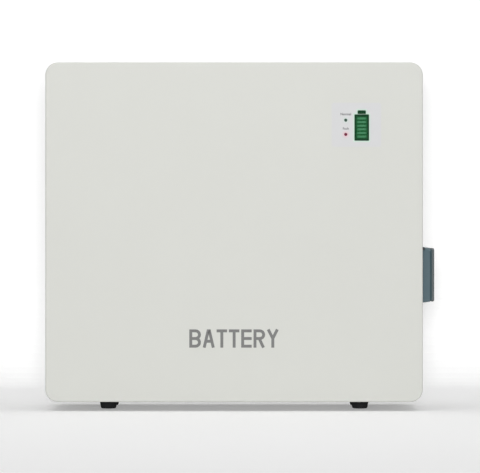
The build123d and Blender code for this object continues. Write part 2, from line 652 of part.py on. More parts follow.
def bms_heatsink():
    """Finned plate behind the board, bolted to the case back."""
    y0 = BMS_Y + PCB_T
    back = CASE_D - SHEET
    sink = block(BMS_X0, BMS_X1, y0, y0 + 4, BMS_Z0, BMS_Z1)
    for i in range(9):
        x = BMS_X0 + 3 + i * 11
        sink += block(x, x + 2, y0 + 4, y0 + SINK_DEEP, BMS_Z0 + 14, BMS_Z1 - 14)
    for x, z in bms_screw_places():
        sink += rod((x, y0 + 4, z), (0, 1, 0), 5.0, back - y0 - 4)
        sink -= rod((x, y0 - 1, z), (0, 1, 0), M3_R + CLEAR, 9)
    return sink


def main_fuse():
    """Bolted fuse in line with the positive bar: moulded body and two blades."""
    _, negative, positive = chain()
    z = positive[1]
    near, far = FUSE_HOLES
    body = block(near + 11, far - 11, BAR_Y1 + 0.2, BAR_Y1 + 12, z - 9, z + 9)
    fuse = fillet(body.edges(), 1.0) + block(near - 7, far + 7, BAR_Y1, BAR_Y1 + FUSE_BLADE_T, z - 7, z + 7)
    return fuse - m6_hole(near, z) - m6_hole(far, z)


def make_electronics():
    add("bms_board", bms_board())
    add("bms_heatsink", bms_heatsink())
    add("main_fuse", main_fuse())


# ---------------------------------------------------------------- breaker and its window
def breaker_profile():
    """The breaker from the side, as an (x, z) outline: a tall foot, two shoulders and a nose."""
    tall, nose = BREAKER_TALL / 2, NOSE_TALL / 2
    shoulder = RAIL_X + SHOULDER_DEEP
    points = [(RAIL_X, -tall), (shoulder - 6, -tall), (shoulder, -tall + 6), (shoulder, -nose),
              (NOSE_X, -nose), (NOSE_X, nose), (shoulder, nose), (shoulder, tall - 6),
              (shoulder - 6, tall), (RAIL_X, tall)]
    return make_face(Polyline([(x, WINDOW_Z + z) for x, z in points], close=True))


def dc_breaker():
    """Two-pole breaker: its body, rail groove, terminal shafts and the slots its toggles stand in."""
    half = BREAKER_WIDE / 2
    body = along_y(breaker_profile(), WINDOW_Y - half, WINDOW_Y + half)
    body -= block(RAIL_X - 1, RAIL_X + 8, WINDOW_Y - half - 1, WINDOW_Y + half + 1,
                  WINDOW_Z - 17.8, WINDOW_Z + 17.8)
    body -= block(NOSE_X - 0.6, NOSE_X + 1, WINDOW_Y - 0.2, WINDOW_Y + 0.2, WINDOW_Z - 50, WINDOW_Z + 50)
    for y in POLE_YS:
        body -= rod((TOGGLE_X, y - 4.4, WINDOW_Z), (0, 1, 0), TOGGLE_DRUM_R + TOGGLE_GAP, 8.8)
        body -= block(TOGGLE_X, NOSE_X + 1, y - 4.4, y + 4.4,
                      WINDOW_Z - TOGGLE_DRUM_R - 2.0, WINDOW_Z + TOGGLE_DRUM_R + 2.0)
        for side in (-1, 1):
            mouth = (TERMINAL_SHAFT_X, y, WINDOW_Z + side * BREAKER_TALL / 2)
            body -= rod(mouth, (0, 0, -side), CABLE_R + 0.3, 12.0)
    return body


def breaker_toggle():
    """Two toggle drums with their levers and the bar that ties them together."""
    toggle = block(TOGGLE_X + TOGGLE_REACH - 5.0, TOGGLE_X + TOGGLE_REACH - 1.2, *POLE_YS,
                   WINDOW_Z - 1.6, WINDOW_Z + 1.6)
    for y in POLE_YS:
        drum = rod((TOGGLE_X, y - 4.1, WINDOW_Z), (0, 1, 0), TOGGLE_DRUM_R, 8.2)
        lever = block(TOGGLE_X, TOGGLE_X + TOGGLE_REACH, y - 3.4, y + 3.4, WINDOW_Z - 2.0, WINDOW_Z + 2.0)
        lever = fillet(lever.edges().group_by(Axis.X)[-1].filter_by(Axis.Y), 1.2)
        toggle = toggle + drum + lever
    return toggle.rotate(Axis((TOGGLE_X, 0, WINDOW_Z), (0, 1, 0)), -TOGGLE_TILT)


def din_rail():
    """Top-hat rail, 35 by 7.5 mm, along Y behind the breaker."""
    y0, y1 = WINDOW_Y - 28, WINDOW_Y + 28
    rail = block(RAIL_BACK, RAIL_BACK + RAIL_T, y0, y1, WINDOW_Z - 13.5, WINDOW_Z + 13.5)
    for side in (-1, 1):
        web = sorted((WINDOW_Z + side * 12.5, WINDOW_Z + side * 13.5))
        rim = sorted((WINDOW_Z + side * 12.5, WINDOW_Z + side * 17.5))
        rail += block(RAIL_BACK, RAIL_X + RAIL_T, y0, y1, *web)
        rail += block(RAIL_X, RAIL_X + RAIL_T, y0, y1, *rim)
    for place, axis in rail_screw_places():
        rail -= rod((RAIL_X, place[1], place[2]), axis, M3_R + CLEAR, 10)
    return rail


def window_blank(x0, x1, start_grow, end_grow, radius):
    """The window's rounded block, tapering outwards."""
    def outline(grow):
        return RectangleRounded(WINDOW_WIDE + 2 * grow, WINDOW_TALL + 2 * grow, radius)
    centre = Pos(WINDOW_Y, WINDOW_Z)
    if start_grow == end_grow:
        return along_x(centre * outline(start_grow), x0, x1)
    near = Plane.YZ.offset(x0) * centre * outline(start_grow)
    far = Plane.YZ.offset(x1) * centre * outline(end_grow)
    return loft([near, far])


def hinge_ears():
    """The two stretches of the hinge line that belong to the frame."""
    near, far = EAR_HALF, EAR_HALF + EAR_T
    return [(WINDOW_Y - far, WINDOW_Y - near), (WINDOW_Y + near, WINDOW_Y + far)]


def hinge_hole(radius):
    return rod((HINGE_X, WINDOW_Y - 40, HINGE_Z), (0, 1, 0), radius, 80)


def window_frame():
    """Collar round the breaker's nose: flange on the case side, spigot through it and two hinge ears."""
    frame = window_blank(SIDE, SIDE + WINDOW_FLANGE, 0, 0, WINDOW_R)
    frame = fillet(facing(frame, Axis.X).edges(), 0.6)
    spigot = Pos(WINDOW_Y, WINDOW_Z) * Rectangle(WINDOW_WIDE - 14.6, WINDOW_TALL - 16.6)
    frame += along_x(spigot, SIDE - 6, SIDE + 1)
    nose = Pos(WINDOW_Y, WINDOW_Z) * Rectangle(BREAKER_WIDE + 0.8, NOSE_TALL + 0.8)
    frame -= along_x(nose, SIDE - 10, SIDE + 10)
    # each ear's gusset stays under the axis, where the lid's top edge never comes
    gusset = [(SIDE + 1, HINGE_Z - 7), (SIDE + 1, HINGE_Z - 1.2), (HINGE_X, HINGE_Z - 1.2),
              (HINGE_X, HINGE_Z - HINGE_EYE_R)]
    for y0, y1 in hinge_ears():
        frame += along_y(make_face(Polyline(gusset, close=True)), y0, y1)
        frame += rod((HINGE_X, y0, HINGE_Z), (0, 1, 0), HINGE_EYE_R, y1 - y0)
    catch_z = WINDOW_Z - CATCH_DROP
    catch = [(SIDE + 1, catch_z), (SIDE + 5, catch_z), (SIDE + 5, catch_z + 1.0), (SIDE + 1, catch_z + 2.2)]
    frame += along_y(make_face(Polyline(catch, close=True)), WINDOW_Y - 6, WINDOW_Y + 6)
    for place, axis in WINDOW_SCREWS:
        frame -= countersink(place, axis)
    return frame - hinge_hole(HINGE_R + 0.02)


def cover_span():
    """Where the closed cover's open end and its face stand, along X."""
    return SIDE + WINDOW_FLANGE + COVER_GAP, SIDE + WINDOW_PROUD


def cover_groove():
    """Ring that cuts the groove round the cover's tapering sides."""
    x0, x1 = (SIDE + out for out in COVER_GROOVE)
    base_x, face_x = cover_span()
    slope = (COVER_TAPER - COVER_INSET) / (face_x - base_x)
    sunk = COVER_INSET + slope * (x0 - base_x) + GROOVE_DEEP
    outside = window_blank(x0, x1, 1.0, 1.0, WINDOW_R + 1.0)
    return outside - window_blank(x0 - 1, x1 + 1, -sunk, -sunk, GROOVE_R)


def window_cover():
    """Tinted lid over the toggles, hollow, hinged along its top edge between the frame's ears."""
    base_x, face_x = cover_span()
    lid = window_blank(base_x, face_x, -COVER_INSET, -COVER_TAPER, WINDOW_R)
    lid = fillet(facing(lid, Axis.X).edges(), COVER_ROUND)
    lid -= cover_groove()
    lid -= window_blank(base_x - 1, face_x - COVER_WALL, -COVER_WALL - 0.1, -COVER_TAPER - COVER_WALL,
                        COVER_INNER_R)
    for y0, y1 in hinge_ears():
        lid -= rod((HINGE_X, y0 - 0.4, HINGE_Z), (0, 1, 0), HINGE_EYE_R + 0.4, y1 - y0 + 0.8)
        lid -= block(base_x - 2, HINGE_X, y0 - 0.4, y1 + 0.4, HINGE_Z - HINGE_EYE_R - 0.4, HINGE_Z + 8)
    # nothing stays behind the hinge line above it, so the lid's top edge swings past the flange
    lid -= block(base_x - 2, HINGE_X, WINDOW_Y - 40, WINDOW_Y + 40, HINGE_Z, HINGE_Z + 8)
    reach = EAR_HALF - 0.4
    lid += rod((HINGE_X, WINDOW_Y - reach, HINGE_Z), (0, 1, 0), HINGE_EYE_R - 0.2, 2 * reach)
    lid += block(HINGE_X, face_x - COVER_WALL, WINDOW_Y - reach, WINDOW_Y + reach,
                 HINGE_Z + 0.2, HINGE_Z + 1.4)
    return lid - hinge_hole(HINGE_R + 0.06)


def hinge_pin():
    half = EAR_HALF + EAR_T
    return rod((HINGE_X, WINDOW_Y - half, HINGE_Z), (0, 1, 0), HINGE_R, 2 * half)


def make_breaker():
    add("dc_breaker", dc_breaker())
    add("breaker_toggle", breaker_toggle())
    add("din_rail", din_rail())
    add("window_frame", window_frame())
    add("window_cover", window_cover())
    add("hinge_pin", hinge_pin())


# ---------------------------------------------------------------- connector bay
def bay_rectangle(grow_y, grow_z, radius):
    return Pos(BAY_Y, BAY_Z) * RectangleRounded(BAY_WIDE + 2 * grow_y, BAY_TALL + 2 * grow_z, radius)


def socket_screw_places(y):
    return [(y + dy, SOCKET_Z + dz) for dy in (-14, 14) for dz in (-14, 14)]


def connector_bay():
    """Moulded tray set in the case side, with a flange behind the sheet."""
    tray = along_x(bay_rectangle(BAY_FLANGE_Y, BAY_FLANGE_Z, 7), BAY_FACE - BAY_WALL, BAY_FACE)
    tray += along_x(bay_rectangle(BAY_WALL, BAY_WALL, 6), BAY_FLOOR - BAY_WALL, BAY_FACE)
    tray -= along_x(bay_rectangle(0, 0, 5), BAY_FLOOR, BAY_FACE + 1)
    for y in SOCKETS.values():
        tray -= rod((BAY_FLOOR - 5, y, SOCKET_Z), (1, 0, 0), CONTACT_R + 3.4, 8)
        for sy, sz in socket_screw_places(y):
            tray -= rod((BAY_FLOOR - 5, sy, sz), (1, 0, 0), M3_R + CLEAR, 8)
    y0, y1 = JACK_YS[0] - JACK_W / 2 - 0.3, JACK_YS[1] + JACK_W / 2 + 0.3
    z0, z1 = TOP_ROW_Z - JACK_TALL / 2 - 0.3, TOP_ROW_Z + JACK_TALL / 2 + 0.3
    tray -= block(BAY_FLOOR - 5, BAY_FLOOR + 1, y0, y1, z0, z1)
    tray -= rod((BAY_FLOOR - 5, BUTTON_Y, TOP_ROW_Z), (1, 0, 0), SWITCH_R + 0.2, 8)
    tray -= rod((BAY_FLOOR - 5, STUD_Y, TOP_ROW_Z), (1, 0, 0), GROUND_STUD_R + CLEAR, 8)
    for place, axis in BAY_SCREWS:
        tray -= rod(place, axis, M3_R + CLEAR, 6)
    return tray


def power_socket(y):
    """Panel socket: flanged insulating shroud round a tubular contact with a tab behind the panel."""
    flange = Pos(y, SOCKET_Z) * RectangleRounded(SOCKET_FLANGE, SOCKET_FLANGE, 4)
    shroud = along_x(flange, BAY_FLOOR, BAY_FLOOR + 3)
    shroud += rod((BAY_FLOOR, y, SOCKET_Z), (1, 0, 0), SOCKET_R, SOCKET_OUT)
    shroud -= rod((BAY_FLOOR + 5, y, SOCKET_Z), (1, 0, 0), SOCKET_R - SOCKET_WALL, SOCKET_OUT)
    shroud += rod((BAY_FLOOR - 4, y, SOCKET_Z), (1, 0, 0), CONTACT_R + 3.2, 5)
    shroud -= rod((BAY_FLOOR - 5, y, SOCKET_Z), (1, 0, 0), CONTACT_R, SOCKET_OUT)
    for sy, sz in socket_screw_places(y):
        shroud -= rod((BAY_FLOOR - 1, sy, sz), (1, 0, 0), M3_R + CLEAR, 6)
    end = BAY_FLOOR + SOCKET_OUT - 1.5
    contact = rod((BAY_FLOOR - 6, y, SOCKET_Z), (1, 0, 0), CONTACT_R, end - BAY_FLOOR + 6)
    contact -= rod((end - CONTACT_LEN, y, SOCKET_Z), (1, 0, 0), CONTACT_BORE_R, CONTACT_LEN + 1)
    contact += block(BAY_FLOOR - 9, BAY_FLOOR - 6, y - 7, y + 7, SOCKET_Z - 7, SOCKET_Z + 12)
    return shroud, contact


def comms_board():
    """Communication board with two eight-pole jacks that look out through the bay floor."""
    board_x = BAY_FLOOR - 12.0
    board = block(board_x - PCB_T, board_x, JACK_YS[0] - 10, JACK_YS[1] + 10, TOP_ROW_Z - 10, TOP_ROW_Z + 10)
    for y in JACK_YS:
        x1 = BAY_FLOOR + 4
        jack = block(board_x, x1, y - JACK_W / 2, y + JACK_W / 2,
                     TOP_ROW_Z - JACK_TALL / 2, TOP_ROW_Z + JACK_TALL / 2)
        jack -= block(x1 - JACK_DEEP, x1 + 1, y - JACK_HOLE_W / 2, y + JACK_HOLE_W / 2,
                      TOP_ROW_Z - JACK_HOLE_H / 2 + 1, TOP_ROW_Z + JACK_HOLE_H / 2 + 1)
        jack -= block(x1 - 4, x1 + 1, y - 3, y + 3, TOP_ROW_Z - JACK_HOLE_H / 2 - 1.2, TOP_ROW_Z)
        board += jack
    chip = block(board_x - PCB_T - 1.5, board_x - PCB_T, JACK_YS[0], JACK_YS[0] + 10,
                 TOP_ROW_Z - 4, TOP_ROW_Z + 6)
    return board + chip


def wake_switch():
    """Body of the wake push-button: a bezel in front of the bay floor and a barrel behind it."""
    body = rod((BAY_FLOOR, BUTTON_Y, TOP_ROW_Z), (1, 0, 0), SWITCH_BEZEL_R, 2.0)
    body = fillet(facing(body, Axis.X).edges(), 0.8)
    body += rod((BAY_FLOOR - SWITCH_DEEP, BUTTON_Y, TOP_ROW_Z), (1, 0, 0), SWITCH_R, SWITCH_DEEP)
    return body - rod((BAY_FLOOR - SWITCH_BORE, BUTTON_Y, TOP_ROW_Z), (1, 0, 0), BUTTON_R + 0.3, 12)


def wake_button():
    """The cap that travels inside the switch body."""
    rear = BAY_FLOOR - SWITCH_BORE + BUTTON_TRAVEL + 1
    cap = rod((rear, BUTTON_Y, TOP_ROW_Z), (1, 0, 0), BUTTON_R, BAY_FLOOR + BUTTON_PROUD - rear)
    return fillet(facing(cap, Axis.X).edges(), 0.8)


def ground_stud():
    """Stud for the earth bond, with a nut each side of the bay floor."""
    out = BAY_FLOOR + 5 + GROUND_STUD_LEN
    stud = rod((BAY_FLOOR - 8, STUD_Y, TOP_ROW_Z), (1, 0, 0), GROUND_STUD_R, out - BAY_FLOOR + 8)
    stud = chamfer(facing(stud, Axis.X).edges(), 0.6)
    stud += hexagon((BAY_FLOOR, STUD_Y, TOP_ROW_Z), (1, 0, 0), 10, 5)
    return stud + hexagon((BAY_FLOOR - BAY_WALL - 4, STUD_Y, TOP_ROW_Z), (1, 0, 0), 10, 4)


def make_bay():
    add("connector_bay", connector_bay())
    for name, y in SOCKETS.items():
        add(name, *power_socket(y))
    add("comms_board", comms_board())
    add("wake_switch", wake_switch())
    add("wake_button", wake_button())
    add("ground_stud", ground_stud())


# ---------------------------------------------------------------- cables inside the case
def turns(points):
    """The radius at each inner point: 0.45 of the shorter run over the tangent of half the turn."""
    radii = []
    for before, here, after in zip(points, points[1:], points[2:]):
        run_in = Vector(*here) - Vector(*before)
        run_out = Vector(*after) - Vector(*here)
        half_turn = math.radians(run_in.get_angle(run_out)) / 2
        radii.append(0.45 * min(run_in.length, run_out.length) / math.tan(half_turn))
    return radii


def cable(*points):
    """A round cable through the points, with an arc at each inner one."""
    path = FilletPolyline(*points, radius=turns(points))
    start = Plane(origin=path @ 0, z_dir=path % 0)
    return sweep(start * Circle(CABLE_R), path=path)


def lug(x, z, y0, turn):
    """Flat ring terminal with its face at y0; turn is its barrel's direction in degrees, 0 along +X."""
    ring = Circle(LUG_W / 2) + Pos(LUG_LEN / 2, 0) * Rectangle(LUG_LEN, LUG_W)
    return along_y(Pos(x, z) * Rot(0, 0, turn) * ring, y0, y0 + LUG_T) - m6_hole(x, z)


def make_cables():
    _, negative, positive = chain()
    top = WINDOW_Z + BREAKER_TALL / 2 - 10
    bottom = WINDOW_Z - BREAKER_TALL / 2 + 10
    x, behind = TERMINAL_SHAFT_X, TERMINAL_SHAFT_X - 15.5
    tab_x = BAY_FLOOR - 14.2
    low, high = POLE_YS

    fuse_x, fuse_z = FUSE_HOLES[1], positive[1]
    lug_y = BAR_Y1 + FUSE_BLADE_T + LUG_T + CABLE_R + 0.1
    feed = cable((fuse_x + 9, lug_y, fuse_z), (fuse_x + 30, lug_y, fuse_z), (fuse_x + 37, 46, 376),
                 (fuse_x + 32, 72, 326), (x, low, 258), (x, low, top))
    plus_y, minus_y = SOCKETS.values()
    plus_load = cable((x, low, bottom), (x, low, 112), (behind, low - 6, 102), (behind, plus_y, 74),
                      (tab_x, plus_y, SOCKET_Z + 12), (tab_x + 0.2, plus_y, SOCKET_Z - 6))
    add("red_cables", feed, plus_load, lug(fuse_x, fuse_z, BAR_Y1 + FUSE_BLADE_T, 0))

    (pack_x, pad_z), (load_x, _) = bms_pads()
    pad_y = BMS_Y - 3.4
    bar_z = negative[1] - MINUS_BAR_DROP
    lug_y = BAR_Y1 + LUG_T + CABLE_R + 0.1
    pack = cable((MINUS_LUG_X, lug_y, bar_z - 9), (MINUS_LUG_X, lug_y, 326), (MINUS_LUG_X + 4, 46, 298),
                 (MINUS_LUG_X + 26, 76, 266), (pack_x, 94, pad_z), (pack_x, pad_y, pad_z + 0.3))
    load = cable((load_x, pad_y, pad_z), (load_x + 0.3, 94, pad_z), (x, high, 226), (x, high, top))
    minus_load = cable((x, high, bottom), (x, high, 112), (behind, high + 6, 102), (behind, minus_y, 74),
                       (tab_x, minus_y, SOCKET_Z + 12), (tab_x + 0.2, minus_y, SOCKET_Z - 6))
    add("black_cables", pack, load, minus_load, lug(MINUS_LUG_X, bar_z, BAR_Y1, -90))


# ---------------------------------------------------------------- wall bracket
def wall_bracket():
    """Folded rail for the wall: back plate with four holes, a web and a lip that stands up in the hanger."""
    half = BRACKET_W / 2
    wall = CASE_D + WALL_GAP
    lip_y = CASE_D + HANGER_SHEET + 0.6
    lip_top = HANGER_Z - HOOK_CLEAR
    web_z = HANGER_Z - HOOK_DROP - 4
    bracket = block(-half, half, lip_y, lip_y + 2, web_z - 2, lip_top)
    bracket += block(-half, half, lip_y, wall, web_z - 2, web_z)
    bracket += block(-half, half, wall - 2, wall, web_z - BRACKET_PLATE_H, web_z)
    mid = web_z - 2 - BRACKET_PLATE_H / 2
    for x in (-BRACKET_HOLES_X / 2, BRACKET_HOLES_X / 2):
        for z in (mid - BRACKET_HOLES_Z / 2, mid + BRACKET_HOLES_Z / 2):
            bracket -= rod((x, wall - 3, z), (0, 1, 0), BRACKET_HOLE_R, 4)
    return bracket


# ---------------------------------------------------------------- pan-head M3 screws
def pan_screw(place, axis, length):
    out = tuple(-a for a in axis)
    head = fillet(facing(rod((0, 0, 0), (0, 0, 1), 2.8, 2.0), Axis.Z).edges(), 0.8)
    return Plane(origin=place, z_dir=out) * head + rod(place, axis, M3_R, length)


def make_pan_screws():
    back = BOARD_Y + PCB_T
    screws = [pan_screw((x, back, z), (0, -1, 0), 7) for x, z in board_screw_places()]
    screws += [pan_screw((x, BMS_Y, z), (0, 1, 0), 8) for x, z in bms_screw_places()]
    for y in SOCKETS.values():
        screws += [pan_screw((BAY_FLOOR + 3, sy, sz), (-1, 0, 0), 7) for sy, sz in socket_screw_places(y)]
    screws += [pan_screw(place, axis, 5) for place, axis in rail_screw_places()]
    add("m3_pan_screws", *screws)


# ---------------------------------------------------------------- build and write
def place(solids):
    move = Pos(*[-c for c in ORIGIN])
    return Compound([move * s for s in solids])


def main():
    make_casing()
    make_feet()
    make_display()
    make_pack()
    make_electronics()
    make_breaker()
    make_bay()
    make_cables()
    add("wall_bracket", wall_bracket())
    make_pan_screws()
    os.makedirs("parts", exist_ok=True)
    for name, solids in parts.items():
        export_step(place(solids), f"parts/{name}.step")
    print(len(parts), "nodes")


main()
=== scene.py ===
import math

import bmesh
import bpy
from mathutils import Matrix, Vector


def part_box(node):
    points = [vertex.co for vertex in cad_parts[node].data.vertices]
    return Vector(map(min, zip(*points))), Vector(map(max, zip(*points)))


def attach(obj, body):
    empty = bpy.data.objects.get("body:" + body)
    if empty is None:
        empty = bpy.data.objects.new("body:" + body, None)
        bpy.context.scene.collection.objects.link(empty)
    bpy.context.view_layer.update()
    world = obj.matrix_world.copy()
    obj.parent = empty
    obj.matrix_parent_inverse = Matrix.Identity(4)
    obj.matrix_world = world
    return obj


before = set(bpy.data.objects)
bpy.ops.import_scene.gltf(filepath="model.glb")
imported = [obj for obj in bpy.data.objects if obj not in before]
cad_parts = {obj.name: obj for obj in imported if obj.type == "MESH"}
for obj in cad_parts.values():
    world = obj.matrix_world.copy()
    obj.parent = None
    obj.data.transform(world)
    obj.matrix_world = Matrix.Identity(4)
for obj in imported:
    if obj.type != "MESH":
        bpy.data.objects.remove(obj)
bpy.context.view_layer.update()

MM = 0.001

# Places on the unit, in case millimetres.
BAY_FLOOR, NOSE_FACE = 206.5, 241.5   # x of the connector bay's floor and of the breaker's face
LID_GROOVE, LID_FACE = 253.6, 256.3   # x where the side lid's groove and its greyer face begin
CELL_FRONT = 28.42                    # y just in front of the cells' wrapped faces
JACK_YS, JACK_HOLE_Z, JACK_HOLE_HALF = (67.0, 85.0), 89.0, (6.3, 5.4)
TOP_ROW_Z = 88.0                      # height of the bay's upper row
SOCKET_YS, SOCKET_Z = (76.0, 118.0), 47.0
CONTACT_R, SOCKET_TAB_X = 5.62, 201.4  # a socket's contact, and where its tab ends
BUTTON_Y, BUTTON_PROUD, STUD_Y = 107.0, 4.5, 127.0
POLE_YS = (88.0, 106.0)               # the breaker's two poles
CASE_MIDDLE_Z = 216.0
cover_low, cover_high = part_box("front_cover")


def at(x, y, z):
    """A place from case millimetres: x from the middle, y from the front face, z from the underside."""
    middle = (cover_low.x + cover_high.x) / 2
    return Vector((middle + x * MM, cover_low.y + y * MM, cover_low.z + z * MM))


def front_middle(node):
    """The middle of a CAD node's front face."""
    low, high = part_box(node)
    return Vector(((low.x + high.x) / 2, low.y, (low.z + high.z) / 2))


# ---------------------------------------------------------------- camera
VIEW_DISTANCE = 3.5          # metres from the case front
VIEW_WIDTH = 0.6102          # metres that the picture spans at the case front
VIEW_X, VIEW_Z = 7.55, 210.5   # the picture's middle, in case millimetres


def make_camera():
    camera = bpy.data.cameras.new("camera")
    camera.sensor_width = 36.0
    camera.lens = camera.sensor_width * VIEW_DISTANCE / VIEW_WIDTH
    camera.clip_end = 60.0
    seen = bpy.data.objects.new("camera", camera)
    seen.location = at(VIEW_X, -1000 * VIEW_DISTANCE, VIEW_Z)
    seen.rotation_euler = (math.radians(90), 0, 0)
    bpy.context.scene.collection.objects.link(seen)
    bpy.context.scene.camera = seen


# ---------------------------------------------------------------- materials
class Finish:
    """A material in the making: one Principled shader and short calls for the nodes that feed it."""

    def __init__(self, name, **sockets):
        self.material = bpy.data.materials.new(name)
        self.material.use_nodes = True
        self.tree = self.material.node_tree
        self.tree.nodes.clear()
        self.shader = self.node("ShaderNodeBsdfPrincipled")
        output = self.node("ShaderNodeOutputMaterial")
        self.link(self.shader.outputs["BSDF"], output.inputs["Surface"])
        self.place = self.node("ShaderNodeTexCoord").outputs["Object"]
        for socket, value in sockets.items():
            self.set(socket.replace("_", " "), value)

    def node(self, kind, inputs=None, **settings):
        made = self.tree.nodes.new(kind)
        for name, value in settings.items():
            setattr(made, name, value)
        for name, value in (inputs or {}).items():
            if isinstance(value, bpy.types.NodeSocket):
                self.link(value, made.inputs[name])
            else:
                made.inputs[name].default_value = value
        return made

    def link(self, source, target):
        self.tree.links.new(source, target)

    def set(self, socket, value):
        """A constant, colour or linked value on one of the shader's sockets."""
        if isinstance(value, bpy.types.NodeSocket):
            self.link(value, self.shader.inputs[socket])
        elif isinstance(value, tuple) and len(value) == 3:
            self.shader.inputs[socket].default_value = (*value, 1)
        else:
            self.shader.inputs[socket].default_value = value

    def noise(self, scale, detail=3.0, stretch=(1, 1, 1), distortion=0.0):
        """Noise with this many features a metre, drawn out along the axes where stretch is small."""
        place = self.node("ShaderNodeMapping", {"Vector": self.place, "Scale": stretch}).outputs[0]
        settings = {"Vector": place, "Scale": scale, "Detail": detail, "Distortion": distortion}
        return self.node("ShaderNodeTexNoise", settings).outputs["Fac"]

    def cells(self, scale, output="Distance", **settings):
        """Cells of random size, this many a metre."""
        inputs = {"Vector": self.place, "Scale": scale}
        return self.node("ShaderNodeTexVoronoi", inputs, **settings).outputs[output]

    def spread(self, factor, low, high, start=0.0, end=1.0):
        """factor from start to end, spread over low to high."""
        limits = {"Value": factor, "From Min": start, "From Max": end, "To Min": low, "To Max": high}
        return self.node("ShaderNodeMapRange", limits).outputs["Result"]

    def math(self, operation, first, second=0.0):
        made = self.node("ShaderNodeMath", operation=operation)
        for socket, value in zip(made.inputs, (first, second)):
            if isinstance(value, bpy.types.NodeSocket):
                self.link(value, socket)
            else:
                socket.default_value = value
        return made.outputs[0]

    def vector(self, operation, first, second=None, output="Vector"):
        made = self.node("ShaderNodeVectorMath", operation=operation)
        for socket, value in zip(made.inputs, (first, second)):
            if isinstance(value, bpy.types.NodeSocket):
                self.link(value, socket)
            elif value is not None:
                socket.default_value = value
        return made.outputs[output]

    def both(self, first, second):
        """1 where both masks are."""
        return self.math("MULTIPLY", first, second)

    def any_of(self, masks):
        """1 where at least one of the masks is."""
        joined = masks[0]
        for mask in masks[1:]:
            joined = self.math("MAXIMUM", joined, mask)
        return joined

    def mix(self, factor, low, high):
        """A colour between low and high."""
        made = self.node("ShaderNodeMix", data_type="RGBA")
        self.link(factor, made.inputs[0])
        for socket, value in zip((made.inputs[6], made.inputs[7]), (low, high)):
            if isinstance(value, bpy.types.NodeSocket):
                self.link(value, socket)
            else:
                socket.default_value = (*value, 1)
        return made.outputs[2]

    def along(self, axis):
        """The place's coordinate on the axis, in metres."""
        return self.node("ShaderNodeSeparateXYZ", {0: self.place}).outputs[axis]

    def beyond(self, axis, limit, blur=0.0001):
        """1 where the place's coordinate on the axis is past limit, 0 before it."""
        return self.spread(self.along(axis), 0.0, 1.0, limit - blur, limit + blur)

    def within(self, axis, middle, half, blur=0.0001):
        """1 where the place is less than half away from middle along the axis."""
        away = self.math("ABSOLUTE", self.math("SUBTRACT", self.along(axis), middle))
        return self.spread(away, 1.0, 0.0, half - blur, half + blur)

    def away_from(self, centre, half=(0, 0, 0)):
        """Distance to a box round centre, or to centre itself."""
        offset = self.vector("ABSOLUTE", self.vector("SUBTRACT", self.place, tuple(centre)))
        outside = self.vector("MAXIMUM", self.vector("SUBTRACT", offset, half), (0, 0, 0))
        return self.vector("LENGTH", outside, output="Value")

    def colour(self, factor, low, high):
        self.set("Base Color", self.mix(factor, low, high))

    def rough(self, factor, low, high):
        self.set("Roughness", self.spread(factor, low, high))

    def bump(self, *layers):
        """Relief from (height, depth in metres) layers."""
        normal = None
        for height, depth in layers:
            inputs = {"Height": height, "Strength": 1.0, "Distance": depth}
            if normal is not None:
                inputs["Normal"] = normal
            normal = self.node("ShaderNodeBump", inputs).outputs["Normal"]
        self.link(normal, self.shader.inputs["Normal"])


def powder_coat():
    """Warm light grey powder coat: orange peel under a fine grain, with faint clouding."""
    paint = Finish("powder_coat", Coat_Weight=0.12, Coat_Roughness=0.35)
    clouds = paint.noise(9, 2)
    paint.colour(clouds, (0.580, 0.584, 0.551), (0.594, 0.600, 0.567))
    peel = paint.noise(620, 1.5)
    grain = paint.noise(2600, 2)
    paint.rough(paint.noise(160, 4), 0.40, 0.52)
    paint.bump((peel, 14e-6), (grain, 5e-6))
    return paint


def foam_rubber():
    foam = Finish("foam_rubber", Specular_IOR_Level=0.25)
    pores = foam.cells(1900)
    foam.colour(pores, (0.028, 0.028, 0.03), (0.06, 0.06, 0.062))
    foam.rough(pores, 0.8, 0.95)
    foam.bump((pores, 1.2e-4))
    return foam


def moulded_rubber():
    """Black foot rubber with a fine grain and a little mould bloom."""
    rubber = Finish("moulded_rubber", Specular_IOR_Level=0.35)
    bloom = rubber.noise(240, 5)
    rubber.colour(bloom, (0.010, 0.010, 0.011), (0.026, 0.026, 0.027))
    rubber.rough(bloom, 0.58, 0.78)
    rubber.bump((rubber.noise(3200, 2), 2.5e-5))
    return rubber


def zinc_plated():
    """Screws, nuts and rods: bright zinc with a faint blue and straw passivation."""
    zinc = Finish("zinc_plated", Metallic=1.0)
    tint = zinc.noise(130, 3)
    zinc.colour(tint, (0.56, 0.58, 0.62), (0.68, 0.665, 0.61))
    zinc.rough(zinc.noise(900, 4), 0.24, 0.42)
    zinc.bump((zinc.noise(2400, 3), 4e-6))
    return zinc


def galvanised():
    """Zinc-coated sheet with its spangle, scuffed a little."""
    sheet = Finish("galvanised", Metallic=1.0)
    spangle = sheet.cells(190, "Color")
    grey = sheet.node("ShaderNodeSeparateColor", {0: spangle}).outputs[0]
    sheet.colour(grey, (0.43, 0.45, 0.47), (0.62, 0.63, 0.645))
    scuffs = sheet.noise(700, 5, stretch=(0.08, 1, 1))
    sheet.set("Roughness", sheet.math("ADD", sheet.spread(grey, 0.34, 0.5), sheet.spread(scuffs, 0, 0.14)))
    sheet.bump((grey, 1.2e-5), (scuffs, 6e-6))
    return sheet


def burnished_steel():
    """Hinge pin: dark drawn steel with fine lines along it."""
    steel = Finish("burnished_steel", Metallic=1.0)
    lines = steel.noise(2600, 4, stretch=(1, 0.02, 1))
    steel.colour(lines, (0.10, 0.10, 0.105), (0.17, 0.17, 0.17))
    steel.rough(lines, 0.3, 0.45)
    steel.bump((lines, 5e-6))
    return steel


